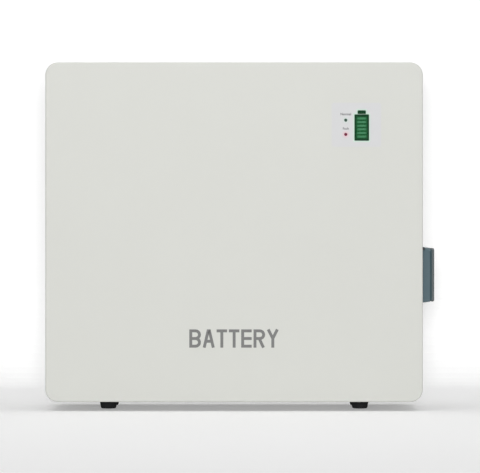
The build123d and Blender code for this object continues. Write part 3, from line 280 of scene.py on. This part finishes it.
ICON_HALF, NUB_HALF, NUB_RISE = (9.2, 16.7), (5.2, 2.4), 19.4   # the printed battery symbol, in mm
GLOW_START, GLOW_END = 0.4, 2.3                                 # its painted glow, from the symbol's edge
LAMP_R = 1.9
LAMP_GLOWS = {
    "status_led_lens": ((0.52, 0.62, 0.57), 4.6),               # painted glow round each lamp: tint, and radius in mm
    "alarm_led_lens": ((0.72, 0.45, 0.50), 5.2),
}


def printed_film():
    """Display overlay: satin polyester, a trace cooler than the paint, with a painted glow round the charge
    gauge and round each lamp.
    """
    film = Finish("printed_film", Coat_Weight=0.2, Coat_Roughness=0.3)
    bars_low, bars_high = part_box("charge_bars")
    centre = (bars_low + bars_high) / 2
    body = film.away_from(centre, (ICON_HALF[0] * MM, 0.01, ICON_HALF[1] * MM))
    nub_centre = centre + Vector((0, 0, NUB_RISE * MM))
    nub = film.away_from(nub_centre, (NUB_HALF[0] * MM, 0.01, NUB_HALF[1] * MM))
    # painted glow: a pale mint ring round the battery symbol, as if lit from behind
    icon_glow = film.spread(film.math("MINIMUM", body, nub), 1.0, 0.0, GLOW_START * MM, GLOW_END * MM)
    ground = film.mix(film.noise(60, 3), (0.572, 0.573, 0.580), (0.586, 0.588, 0.594))
    with_glow = film.mix(icon_glow, ground, (0.49, 0.67, 0.56))
    # painted glow: a tinted ring round each lamp
    for node, (tint, radius) in LAMP_GLOWS.items():
        away = film.away_from(front_middle(node), (0, 0.01, 0))
        with_glow = film.mix(film.spread(away, 0.8, 0.0, LAMP_R * MM, radius * MM), with_glow, tint)
    film.set("Base Color", with_glow)
    film.rough(film.noise(500, 3), 0.34, 0.44)
    film.bump((film.noise(3400, 2), 5e-6))
    return film


def icon_window():
    """Dark green window of the charge gauge: clearer in the middle where the bars show, dark at its rim."""
    window = Finish("icon_window", Coat_Weight=0.3, Coat_Roughness=0.08, Specular_IOR_Level=0.3)
    low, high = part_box("charge_bars")
    centre, half = (low + high) / 2, (high - low) / 2
    away = window.away_from(centre, (half.x, 0.01, half.z))
    inner = window.spread(away, 1.0, 0.0, 0.3 * MM, 1.9 * MM)
    window.colour(inner, (0.004, 0.038, 0.013), (0.003, 0.072, 0.018))
    window.rough(window.noise(800, 3), 0.22, 0.34)
    window.bump((window.noise(2600, 2), 3e-6))
    return window


def gauge_bars():
    """Six pale green bars, each with painted light: a little brighter along its middle."""
    bars = Finish("gauge_bars", Coat_Weight=0.3, Coat_Roughness=0.1, Specular_IOR_Level=0.3)
    low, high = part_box("charge_bars")
    centre = (low + high) / 2
    # painted light: each bar lighter along its middle
    middle = bars.within("X", centre.x, 4.6 * MM, 1.6 * MM)
    bars.colour(middle, (0.038, 0.165, 0.076), (0.052, 0.205, 0.096))
    bars.rough(bars.noise(900, 3), 0.2, 0.32)
    bars.bump((bars.noise(2600, 2), 3e-6))
    return bars


def lamp_lens(name, node, rim, core):
    """Small lamp lens: painted light makes a brighter core inside a darker rim."""
    lens = Finish(name, Coat_Weight=1.0, Coat_Roughness=0.04, IOR=1.5)
    away = lens.away_from(front_middle(node), (0, 0.01, 0))
    # painted light: brighter towards the lens's middle, darker at its rim
    lit_core_mask = lens.spread(away, 1.0, 0.0, 0.3 * MM, 1.7 * MM)
    lens.colour(lit_core_mask, rim, core)
    lens.rough(lens.noise(700, 2), 0.1, 0.2)
    lens.bump((lens.cells(1500), 1.5e-5))
    return lens


def board_laminate():
    """Green solder mask over traces, with tinned pads."""
    board = Finish("board_laminate", Coat_Weight=0.35, Coat_Roughness=0.18)
    traces = board.cells(420, distance="MANHATTAN")
    lines = board.spread(board.math("PINGPONG", board.math("MULTIPLY", traces, 5.0), 0.5), 0, 1, 0.18, 0.24)
    mask = board.mix(lines, (0.024, 0.150, 0.060), (0.010, 0.085, 0.034))
    pads = board.spread(board.cells(520), 1.0, 0.0, 0.16, 0.19)
    board.set("Base Color", board.mix(pads, mask, (0.62, 0.62, 0.58)))
    board.rough(board.noise(500, 3), 0.28, 0.42)
    board.bump((lines, 1.2e-5), (pads, 2e-5))
    return board


def jack_board():
    """The communication board: green laminate behind, shielded jacks with black inserts in front."""
    board = Finish("jack_board")
    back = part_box("comms_board")[0].x
    front = board.beyond("X", back + 3.2 * MM)
    lines = board.noise(1800, 3, stretch=(0.05, 1, 1))
    steel = board.mix(lines, (0.50, 0.51, 0.52), (0.66, 0.66, 0.66))
    laminate = board.mix(board.noise(300, 4), (0.010, 0.085, 0.034), (0.022, 0.14, 0.055))
    shell = board.mix(front, laminate, steel)
    pockets = []
    for y in JACK_YS:
        middle = at(0, y, JACK_HOLE_Z)
        width = board.within("Y", middle.y, JACK_HOLE_HALF[0] * MM)
        height = board.within("Z", middle.z, JACK_HOLE_HALF[1] * MM)
        pockets.append(board.both(width, height))
    hollow = board.both(board.any_of(pockets), front)
    board.set("Base Color", board.mix(hollow, shell, (0.022, 0.022, 0.024)))
    board.set("Metallic", board.both(front, board.math("SUBTRACT", 1.0, hollow)))
    board.rough(board.noise(700, 3), 0.3, 0.46)
    board.bump((board.noise(2200, 3), 8e-6))
    return board


def woven_sheet(name, low, high):
    """Glass-fibre laminate: two crossing sets of threads under a matt resin."""
    sheet = Finish(name, Specular_IOR_Level=0.4)
    threads = []
    for across in ("X", "Z"):
        inputs = {"Vector": sheet.place, "Scale": 260.0, "Distortion": 0.6}
        threads.append(sheet.node("ShaderNodeTexWave", inputs, bands_direction=across).outputs["Fac"])
    weave = sheet.math("MULTIPLY", *threads)
    sheet.colour(weave, low, high)
    sheet.rough(sheet.noise(400, 3), 0.5, 0.68)
    sheet.bump((weave, 2.5e-5))
    return sheet


def milled_aluminium():
    metal = Finish("milled_aluminium", Metallic=1.0)
    lines = metal.noise(1500, 4, stretch=(0.03, 1, 1))
    metal.colour(lines, (0.68, 0.69, 0.70), (0.80, 0.81, 0.82))
    metal.rough(lines, 0.26, 0.42)
    metal.bump((lines, 8e-6))
    return metal


def rolled_copper():
    copper = Finish("rolled_copper", Metallic=1.0)
    tarnish = copper.noise(45, 5, distortion=0.8)
    copper.colour(tarnish, (0.60, 0.27, 0.15), (0.86, 0.46, 0.30))
    lines = copper.noise(1400, 3, stretch=(0.1, 1, 1))
    copper.rough(lines, 0.2, 0.38)
    copper.bump((lines, 6e-6))
    return copper


def moulded_plastic(name, low, high, rough=(0.42, 0.56), texture=1.4e-5, **sockets):
    """Injection-moulded plastic with a spark-eroded grain."""
    plastic = Finish(name, **sockets)
    plastic.colour(plastic.noise(70, 4), low, high)
    plastic.rough(plastic.noise(600, 3), *rough)
    plastic.bump((plastic.cells(1700), texture), (plastic.noise(180, 2), 1e-5))
    return plastic


LABEL_HALF, LABEL_RISE, POLE_HALF = (6.4, 4.6), 15.2, 9.0   # the breaker's printed patches, in mm


def breaker_shell():
    """Breaker housing: pale grey moulding, the joint between its poles, and dark patches for its marks."""
    shell = Finish("breaker_shell")
    low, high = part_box("dc_breaker")
    middle = (low + high) / 2
    ground = shell.mix(shell.noise(80, 4), (0.60, 0.61, 0.60), (0.66, 0.67, 0.66))
    patches = []
    for side in (-1, 1):
        across = shell.within("Y", middle.y + side * POLE_HALF * MM, LABEL_HALF[0] * MM)
        for rise in (-LABEL_RISE, LABEL_RISE):
            along = shell.within("Z", middle.z + rise * MM, LABEL_HALF[1] * MM)
            patches.append(shell.both(across, along))
    label = shell.both(shell.any_of(patches), shell.beyond("X", high.x - 0.3 * MM))
    ground = shell.mix(label, ground, (0.16, 0.17, 0.18))
    seam = shell.within("Y", middle.y, 0.28 * MM, 0.08 * MM)
    shell.set("Base Color", shell.mix(seam, ground, (0.10, 0.10, 0.10)))
    shell.rough(shell.noise(600, 3), 0.42, 0.55)
    shell.bump((shell.cells(1900), 1.2e-5))
    return shell


def smoked_lid():
    """Smoked polycarbonate: blue-grey and part see-through, with painted shade darkening its groove, and a
    greyer face.
    """
    lid = Finish("smoked_lid", Alpha=0.9, IOR=1.5, Coat_Weight=0.35, Coat_Roughness=0.05)
    flow = lid.noise(38, 4, stretch=(1, 1, 0.35), distortion=0.5)
    side = lid.mix(flow, (0.092, 0.140, 0.162), (0.112, 0.164, 0.186))
    # painted shade: darker over the groove in the lid's side
    groove_shade = lid.beyond("X", at(LID_GROOVE, 0, 0).x, 0.25 * MM)
    side = lid.mix(groove_shade, side, (0.046, 0.080, 0.092))
    face = lid.beyond("X", at(LID_FACE, 0, 0).x, 0.25 * MM)
    lid.set("Base Color", lid.mix(face, side, (0.120, 0.140, 0.144)))
    lid.rough(lid.noise(320, 4), 0.12, 0.24)
    lid.bump((lid.noise(120, 2), 1.5e-5), (lid.noise(1800, 2), 3e-6))
    return lid


def socket_shroud(name, node, low, high):
    """Power socket: glossy coloured shroud round a silver-plated contact."""
    socket = Finish(name, Coat_Weight=0.25, Coat_Roughness=0.15)
    bottom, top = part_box(node)
    axis = Vector(((bottom.x + top.x) / 2, (bottom.y + top.y) / 2, at(0, 0, SOCKET_Z).z))
    radial = socket.away_from(axis, (0.1, 0, 0))
    contact = socket.spread(radial, 1.0, 0.0, CONTACT_R * MM, (CONTACT_R + 0.06) * MM)
    tab = socket.math("SUBTRACT", 1.0, socket.beyond("X", at(SOCKET_TAB_X, 0, 0).x))
    metal = socket.math("MAXIMUM", contact, tab)
    silver = socket.mix(socket.noise(300, 4), (0.66, 0.65, 0.62), (0.83, 0.82, 0.79))
    plastic = socket.mix(socket.noise(90, 4), low, high)
    socket.set("Base Color", socket.mix(metal, plastic, silver))
    socket.set("Metallic", metal)
    socket.rough(socket.noise(700, 3), 0.26, 0.40)
    socket.bump((socket.cells(1500), 7e-6))
    return socket


def turned_steel():
    """Push-button housing: bright steel with turning rings round its axis."""
    steel = Finish("turned_steel", Metallic=1.0)
    low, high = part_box("wake_switch")
    radius = steel.away_from((low + high) / 2, (0.1, 0, 0))
    rings = steel.math("PINGPONG", steel.math("MULTIPLY", radius, 5200.0), 1.0)
    steel.colour(steel.noise(400, 3), (0.60, 0.60, 0.61), (0.70, 0.70, 0.71))
    steel.rough(rings, 0.16, 0.3)
    steel.bump((rings, 4e-6))
    return steel


def brass():
    metal = Finish("brass", Metallic=1.0)
    tarnish = metal.noise(220, 5)
    metal.colour(tarnish, (0.62, 0.47, 0.20), (0.83, 0.67, 0.34))
    metal.rough(tarnish, 0.2, 0.4)
    metal.bump((metal.noise(1700, 3), 6e-6))
    return metal


def cable_jacket(name, low, high):
    """Silicone cable jacket: waxy, with faint lines where the strands inside show."""
    jacket = Finish(name, Specular_IOR_Level=0.45)
    jacket.colour(jacket.noise(160, 4), low, high)
    jacket.rough(jacket.noise(500, 3), 0.45, 0.6)
    jacket.bump((jacket.noise(900, 2, stretch=(1, 1, 0.2)), 2.5e-5))
    return jacket


def cell_wrap():
    """Blue shrink film over the cans, wrinkled, with bare aluminium terminals and vents in front."""
    wrap = Finish("cell_wrap", Coat_Weight=0.6, Coat_Roughness=0.12)
    low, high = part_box("cell_01")
    front = wrap.math("SUBTRACT", 1.0, wrap.beyond("Y", at(0, CELL_FRONT, 0).y))
    wrinkles = wrap.noise(45, 5, stretch=(1, 0.4, 1), distortion=1.2)
    film = wrap.mix(wrinkles, (0.020, 0.095, 0.34), (0.040, 0.15, 0.47))
    wrap.set("Base Color", wrap.mix(front, film, (0.74, 0.75, 0.76)))
    wrap.set("Metallic", front)
    wrap.rough(wrap.noise(300, 3), 0.22, 0.36)
    wrap.bump((wrinkles, 1.5e-4))
    return wrap


def fuse_ceramic():
    body = Finish("fuse_ceramic", Coat_Weight=0.3, Coat_Roughness=0.2)
    speckle = body.cells(1300)
    body.colour(speckle, (0.48, 0.45, 0.38), (0.66, 0.64, 0.56))
    body.rough(body.noise(500, 3), 0.3, 0.45)
    body.bump((speckle, 1.5e-5))
    return body


def printing_ink(name, low, high):
    """Screen-printed ink: matt, with a slightly uneven lay-down."""
    ink = Finish(name, Specular_IOR_Level=0.3)
    ink.colour(ink.noise(900, 4), low, high)
    ink.rough(ink.noise(1400, 3), 0.5, 0.66)
    ink.bump((ink.noise(2800, 2), 4e-6))
    return ink


def make_lamps_and_display():
    return {
        "overlay_film": printed_film(),
        "icon_green": icon_window(),
        "bar_green": gauge_bars(),
        "status_green": lamp_lens("status_lens", "status_led_lens",
                                  (0.035, 0.065, 0.05), (0.055, 0.105, 0.08)),
        "alarm_red": lamp_lens("alarm_lens", "alarm_led_lens",
                               (0.14, 0.028, 0.05), (0.21, 0.035, 0.065)),
    }


def make_plastics():
    return {
        "breaker_case": breaker_shell(),
        "toggle_black": moulded_plastic("toggle_moulding", (0.014, 0.014, 0.016), (0.026, 0.026, 0.028),
                                        rough=(0.3, 0.42)),
        "frame_grey": moulded_plastic("frame_moulding", (0.105, 0.145, 0.158), (0.13, 0.172, 0.186)),
        "smoked_plastic": smoked_lid(),
        "bay_plastic": moulded_plastic("bay_moulding", (0.022, 0.022, 0.024), (0.036, 0.036, 0.038),
                                       rough=(0.5, 0.66), texture=3e-5),
        "socket_orange": socket_shroud("orange_socket", "positive_socket",
                                       (0.72, 0.17, 0.012), (0.86, 0.25, 0.03)),
        "socket_black": socket_shroud("black_socket", "negative_socket",
                                      (0.012, 0.012, 0.013), (0.026, 0.026, 0.028)),
        "switch_cap": moulded_plastic("cap_moulding", (0.03, 0.03, 0.034), (0.05, 0.05, 0.055),
                                      rough=(0.34, 0.46), texture=8e-6),
    }


def make_finishes():
    """The material for each of the record's slots."""
    return make_lamps_and_display() | make_plastics() | {
        "case_paint": powder_coat(),
        "gasket_rubber": foam_rubber(),
        "zinc_screws": zinc_plated(),
        "zinc_plate": galvanised(),
        "steel_pin": burnished_steel(),
        "foot_rubber": moulded_rubber(),
        "circuit_board": board_laminate(),
        "sense_sheet": woven_sheet("sense_laminate", (0.36, 0.33, 0.18), (0.50, 0.47, 0.28)),
        "glass_fibre": woven_sheet("glass_laminate", (0.62, 0.60, 0.44), (0.78, 0.76, 0.60)),
        "plate_aluminium": milled_aluminium(),
        "copper": rolled_copper(),
        "fuse_body": fuse_ceramic(),
        "switch_steel": turned_steel(),
        "brass_stud": brass(),
        "red_jacket": cable_jacket("red_cable", (0.42, 0.014, 0.010), (0.58, 0.028, 0.020)),
        "black_jacket": cable_jacket("black_cable", (0.012, 0.012, 0.013), (0.026, 0.026, 0.027)),
        "cell_film": cell_wrap(),
    }


def paint_cad_nodes(finishes):
    """Every carried-over CAD node gets its finish; the communication board has one of its own."""
    special = {"comms_board": jack_board().material}
    for name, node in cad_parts.items():
        for slot in node.material_slots:
            slot.material = special.get(name) or finishes[slot.material.name].material


# ---------------------------------------------------------------- printed marks
LETTER_TALL, LETTER_GAP = 19.5, 2.3   # between stroke middles, and between letters, in millimetres
STROKE = 3.75
BOWL_X = 6.2                          # where the bowls of B and R start to curve
WORD_Z = 80.8                         # the word's middle
HAIR = 0.012                          # crossing strokes lie this far apart, so their faces don't coincide


def arc(x, z, radius, start, end, steps=8):
    """Points round (x, z) from start to end degrees."""
    angles = [math.radians(start + (end - start) * i / steps) for i in range(steps + 1)]
    return [(x + radius * math.cos(a), z + radius * math.sin(a)) for a in angles]


def letter_strokes(tall):
    """Each letter as (width, strokes). A stroke is a line through its points, along its middle."""
    half, bowl = tall / 2, tall / 4
    over, under = tall + STROKE / 2, -STROKE / 2
    upper = arc(BOWL_X, tall - bowl, bowl, 90, -90)
    lower = arc(BOWL_X, bowl, bowl, 90, -90)
    stem = [(0, over), (0, under)]
    wide, crossbar = 9.6 + STROKE / 2, tall * 0.32
    return {
        "B": (11.0, [[(0, tall), *upper, (0, half)], [(0, half), *lower, (0, 0)], stem]),
        "A": (11.6, [[(0, under), (5.0, tall), (6.6, tall), (11.6, under)],
                     [(2.0, crossbar), (9.6, crossbar)]]),
        "T": (9.6, [[(-STROKE / 2, tall), (wide, tall)], [(4.8, tall), (4.8, under)]]),
        "E": (9.6, [[(wide, tall), (0, tall), (0, 0), (wide, 0)], [(0, half), (wide, half)]]),
        "R": (10.8, [[(0, tall), *upper, (0, half)], stem, [(5.4, half), (10.8, under)]]),
        "Y": (11.6, [[(0, over), (5.8, half), (11.6, over)], [(5.8, half), (5.8, under)]]),
    }


def stroke_mesh(strokes, width, front, back):
    """Flat ribbons of the given width along each stroke, in the x-z plane, between two y values."""
    mesh = bmesh.new()
    for order, points in enumerate(strokes):
        face = front - HAIR * MM * (order % 3)
        line = [Vector((x, 0, z)) for x, z in points]
        sides = []
        for i, point in enumerate(line):
            before = (point - line[i - 1]).normalized() if i > 0 else None
            after = (line[i + 1] - point).normalized() if i + 1 < len(line) else None
            along = ((before or after) + (after or before)).normalized()
            across = Vector((-along.z, 0, along.x))
            reach = width / 2 / max(0.35, along.dot(after or before))
            sides.append((point + across * reach, point - across * reach))
        rings = []
        for left, right in sides:
            corners = [(left, face), (right, face), (right, back), (left, back)]
            rings.append([mesh.verts.new((p.x, y, p.z)) for p, y in corners])
        for first, second in zip(rings, rings[1:]):
            for i in range(4):
                mesh.faces.new((first[i], first[(i + 1) % 4], second[(i + 1) % 4], second[i]))
        mesh.faces.new(rings[0][::-1])
        mesh.faces.new(rings[-1])
    bmesh.ops.recalc_face_normals(mesh, faces=mesh.faces)
    data = bpy.data.meshes.new("strokes")
    mesh.to_mesh(data)
    mesh.free()
    return data


def add_piece(name, data, finish, body, location=(0, 0, 0)):
    """A new object with one finish, riding on a body."""
    piece = bpy.data.objects.new(name, data)
    data.materials.append(finish.material)
    piece.location = location
    bpy.context.scene.collection.objects.link(piece)
    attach(piece, body)
    return piece


def scaled(strokes, shift=0.0):
    """Strokes in millimetres, moved along x by shift, as metres."""
    return [[((x + shift) * MM, z * MM) for x, z in points] for points in strokes]


def make_wordmark(ink):
    """The plain word on the lower front, in a condensed even-stroke letter."""
    letters = letter_strokes(LETTER_TALL)
    word = "BATTERY"
    pitch = [letters[letter][0] + STROKE + LETTER_GAP for letter in word]
    start = -(sum(pitch) - LETTER_GAP) / 2 + STROKE / 2
    strokes = []
    for letter, step in zip(word, pitch):
        strokes += scaled(letters[letter][1], start)
        start += step
    data = stroke_mesh(strokes, STROKE * MM, -0.05 * MM, 0.05 * MM)
    add_piece("wordmark", data, ink, "case", at(0, 0, WORD_Z - LETTER_TALL / 2))


def make_caption(name, words, place, size, finish, turn=0, bold=0.0):
    """A line of small printed text at a place in case millimetres; turn 90 faces the right-hand side."""
    text = bpy.data.curves.new(name, "FONT")
    text.body = words
    text.size = size * MM
    text.align_x = "CENTER"
    text.align_y = "CENTER"
    text.extrude = 0.01 * MM
    text.offset = bold * MM
    piece = add_piece(name, text, finish, "case", at(*place))
    piece.rotation_euler = (math.radians(90), 0, math.radians(turn))


def make_symbol(name, strokes, width, place, finish, body="case"):
    """Line drawing in millimetres, printed on a face that looks to the right-hand side."""
    data = stroke_mesh(scaled(strokes), width * MM, -0.02 * MM, 0.03 * MM)
    piece = add_piece(name, data, finish, body, at(*place))
    piece.rotation_euler = (0, 0, math.radians(90))


OVERLAY_FACE, CAPTION_X = -0.5, 142.0   # y of the overlay's face, and the captions' middle


def make_front_marks(caption_ink):
    make_wordmark(printing_ink("grey_ink", (0.172, 0.172, 0.170), (0.200, 0.200, 0.198)))
    make_caption("status_caption", "Normal", (CAPTION_X, OVERLAY_FACE, 365.9), 4.4, caption_ink, bold=0.1)
    make_caption("alarm_caption", "Fault", (CAPTION_X, OVERLAY_FACE, 347.6), 4.0, caption_ink, bold=0.08)


def make_bay_marks(white_ink):
    """Polarity, jack numbers, earth and power symbols in the connector bay, and on/off on the breaker."""
    for name, words, y in zip(("plus_mark", "minus_mark"), ("+", "\u2212"), SOCKET_YS):
        make_caption(name, words, (BAY_FLOOR, y, 71.2), 12, white_ink, 90)
    for name, words, y in zip(("jack_one_mark", "jack_two_mark"), ("1", "2"), JACK_YS):
        make_caption(name, words, (BAY_FLOOR, y, 98.7), 5, white_ink, 90)
    earth = [[(0, 3), (0, 0)]]
    earth += [[(-half, z), (half, z)] for half, z in ((2.8, 0), (1.8, -1.2), (0.8, -2.4))]
    make_symbol("earth_mark", earth, 0.5, (BAY_FLOOR, STUD_Y, 98.2), white_ink)
    power = [arc(0, 0, 2.2, 55, -235, 16), [(0, 3), (0, 0.4)]]
    cap = (BAY_FLOOR + BUTTON_PROUD, BUTTON_Y, TOP_ROW_Z)
    make_symbol("power_mark", power, 0.5, cap, white_ink, "wake_button")
    for pole, y in zip(("left", "right"), POLE_YS):
        make_caption(f"{pole}_on_mark", "I  ON", (NOSE_FACE, y, 176.0), 3.4, white_ink, 90)
        make_caption(f"{pole}_off_mark", "O OFF", (NOSE_FACE, y, 145.6), 3.4, white_ink, 90)


CONTACT_COUNT, CONTACT_PITCH, CONTACT_WIDE = 8, 1.02, 0.5   # each jack's springs, in mm


def make_jack_contacts():
    """Eight gilded spring contacts slanting down from the roof of each jack."""
    gold = Finish("gilded_contact", Metallic=1.0)
    gold.colour(gold.noise(900, 3), (0.78, 0.55, 0.20), (0.92, 0.70, 0.34))
    gold.rough(gold.noise(1400, 2), 0.16, 0.3)
    gold.bump((gold.noise(2600, 2), 3e-6))
    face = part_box("comms_board")[1].x
    spring = [[(0, 3.9), (-2.0, 3.7), (-9.5, -0.6), (-11.2, -0.2)]]
    for jack, y in enumerate(JACK_YS, 1):
        for i in range(CONTACT_COUNT):
            data = stroke_mesh(scaled(spring), 0.3 * MM, -CONTACT_WIDE / 2 * MM, CONTACT_WIDE / 2 * MM)
            place = at(0, y + (i - (CONTACT_COUNT - 1) / 2) * CONTACT_PITCH, TOP_ROW_Z)
            place.x = face - 0.6 * MM
            add_piece(f"jack_{jack}_contact_{i + 1}", data, gold, "case", place)


WELD_R, WELD_RIPPLE, WELD_STEP = 1.55, 0.22, 0.8             # in mm
WELD_COUNT, WELD_PITCH, WELD_LONG = 5, 60, 24
WELD_Y, WELD_Z = 150.4, 402.0


def make_weld(name, start, end, y, z, paint):
    """A rippled fillet bead along x in the corner above a plate's edge and in front of the case back."""
    mesh = bmesh.new()
    steps = round((end - start) / WELD_STEP)
    rings = []
    for i in range(steps + 1):
        x = start + (end - start) * i / steps
        taper = min(1.0, 0.35 + min(i, steps - i) / 4)
        radius = (WELD_R + WELD_RIPPLE * math.sin(i * 2.1)) * taper
        ring = [at(x, y + max(0.0, radius * math.sin(a)), z + radius * math.cos(a) * 0.9)
                for a in [math.radians(-20 + 20 * k) for k in range(11)]]
        rings.append([mesh.verts.new(point) for point in ring])
    for first, second in zip(rings, rings[1:]):
        for k in range(len(first)):
            after = (k + 1) % len(first)
            mesh.faces.new((first[k], first[after], second[after], second[k]))
    for ring in (rings[0], rings[-1]):
        mesh.faces.new(ring)
    bmesh.ops.recalc_face_normals(mesh, faces=mesh.faces)
    data = bpy.data.meshes.new(name)
    mesh.to_mesh(data)
    mesh.free()
    for face in data.polygons:
        face.use_smooth = True
    add_piece(name, data, paint, "case")


def make_hanger_welds(paint):
    """Stitch welds along the top edge of the hanger rail's plate."""
    for i in range(WELD_COUNT):
        start = (i - (WELD_COUNT - 1) / 2) * WELD_PITCH - WELD_LONG / 2
        make_weld(f"hanger_weld_{i + 1}", start, start + WELD_LONG, WELD_Y, WELD_Z, paint)


def make_marks(finishes):
    white_ink = printing_ink("white_ink", (0.70, 0.70, 0.70), (0.78, 0.78, 0.78))
    dark_ink = printing_ink("caption_ink", (0.10, 0.10, 0.105), (0.15, 0.15, 0.155))
    make_front_marks(dark_ink)
    make_bay_marks(white_ink)
    make_jack_contacts()
    make_hanger_welds(finishes["case_paint"])


# ---------------------------------------------------------------- stage
FLOOR_HALF, FLOOR_FRONT = 5.0, -7.0
WALL_AWAY = 0.68             # sweep's wall, behind the case front
SWEEP_R = 0.16
WALL_TOP = 0.75
WORLD_FILL = 0.16
EVEN_GLOW = 0.27             # the paper's own light, which only the camera sees
FADE_START, FADE_END = 0.9, 2.4


def backdrop_finish():
    """Matt pale paper with an even glow that fades to white far away. From behind, it is see-through."""
    paper = Finish("backdrop_paper", Roughness=0.9, Specular_IOR_Level=0.1)
    paper.colour(paper.noise(4, 2), (0.79, 0.79, 0.79), (0.81, 0.81, 0.81))
    paper.set("Emission Color", (1.0, 1.0, 1.0))
    away = paper.away_from(at(0, 0, 0))
    glow = paper.spread(away, EVEN_GLOW, 1.0, FADE_START, FADE_END)
    seen = paper.node("ShaderNodeLightPath").outputs["Is Camera Ray"]
    paper.set("Emission Strength", paper.math("MULTIPLY", seen, glow))
    clear = paper.node("ShaderNodeBsdfTransparent")
    behind = paper.node("ShaderNodeNewGeometry").outputs["Backfacing"]
    choice = paper.node("ShaderNodeMixShader", {0: behind})
    paper.link(paper.shader.outputs["BSDF"], choice.inputs[1])
    paper.link(clear.outputs[0], choice.inputs[2])
    output = [n for n in paper.tree.nodes if n.type == "OUTPUT_MATERIAL"][0]
    paper.link(choice.outputs[0], output.inputs["Surface"])
    return paper


def make_backdrop():
    """A floor that sweeps up into a low wall behind the unit."""
    wall_y = at(0, 1000 * WALL_AWAY, 0).y
    bend = arc(wall_y - SWEEP_R, SWEEP_R, SWEEP_R, -90, 0, 16)
    profile = [(FLOOR_FRONT, 0.0), *bend, (wall_y, WALL_TOP)]
    mesh = bmesh.new()
    rows = [[mesh.verts.new((x, y, z)) for y, z in profile] for x in (-FLOOR_HALF, FLOOR_HALF)]
    for i in range(len(profile) - 1):
        mesh.faces.new((rows[0][i], rows[1][i], rows[1][i + 1], rows[0][i + 1]))
    data = bpy.data.meshes.new("backdrop")
    mesh.to_mesh(data)
    mesh.free()
    data.materials.append(backdrop_finish().material)
    sweep = bpy.data.objects.new("backdrop", data)
    bpy.context.scene.collection.objects.link(sweep)


def add_area_light(name, location, aim, size, power, shape="RECTANGLE", size_y=None):
    lamp = bpy.data.lights.new(name, "AREA")
    lamp.shape = shape
    lamp.size = size
    if size_y is not None:
        lamp.size_y = size_y
    lamp.energy = power
    placed = bpy.data.objects.new(name, lamp)
    placed.location = location
    placed.rotation_euler = (Vector(aim) - Vector(location)).to_track_quat("-Z", "Y").to_euler()
    bpy.context.scene.collection.objects.link(placed)
    return placed


def make_lights():
    middle = at(0, 0, CASE_MIDDLE_Z)
    front = add_area_light("front_softbox", at(VIEW_X, -3600, 328), middle, 0.34, 98, shape="DISK")
    front.visible_glossy = False     # a lamp this near the camera would glare on every flat face
    add_area_light("top_panel", at(0, -300, 1300), at(0, -300, 0), 2.2, 9.5, size_y=1.0)
    add_area_light("rear_panel", at(0, 900, 1300), at(0, 150, CASE_MIDDLE_Z), 1.6, 4, size_y=1.1)
    world = bpy.data.worlds.new("studio")
    world.use_nodes = True
    tree = world.node_tree
    fill = tree.nodes["Background"]
    fill.inputs["Color"].default_value = (1, 1, 1, 1)
    fill.inputs["Strength"].default_value = WORLD_FILL
    white = tree.nodes.new("ShaderNodeBackground")
    white.inputs["Color"].default_value = (1, 1, 1, 1)
    choice = tree.nodes.new("ShaderNodeMixShader")
    path = tree.nodes.new("ShaderNodeLightPath")
    tree.links.new(path.outputs["Is Camera Ray"], choice.inputs[0])
    tree.links.new(fill.outputs[0], choice.inputs[1])
    tree.links.new(white.outputs[0], choice.inputs[2])
    tree.links.new(choice.outputs[0], tree.nodes["World Output"].inputs["Surface"])
    bpy.context.scene.world = world
    bpy.context.scene.view_settings.view_transform = "Standard"


make_camera()
finishes = make_finishes()
paint_cad_nodes(finishes)
make_marks(finishes)
make_backdrop()
make_lights()
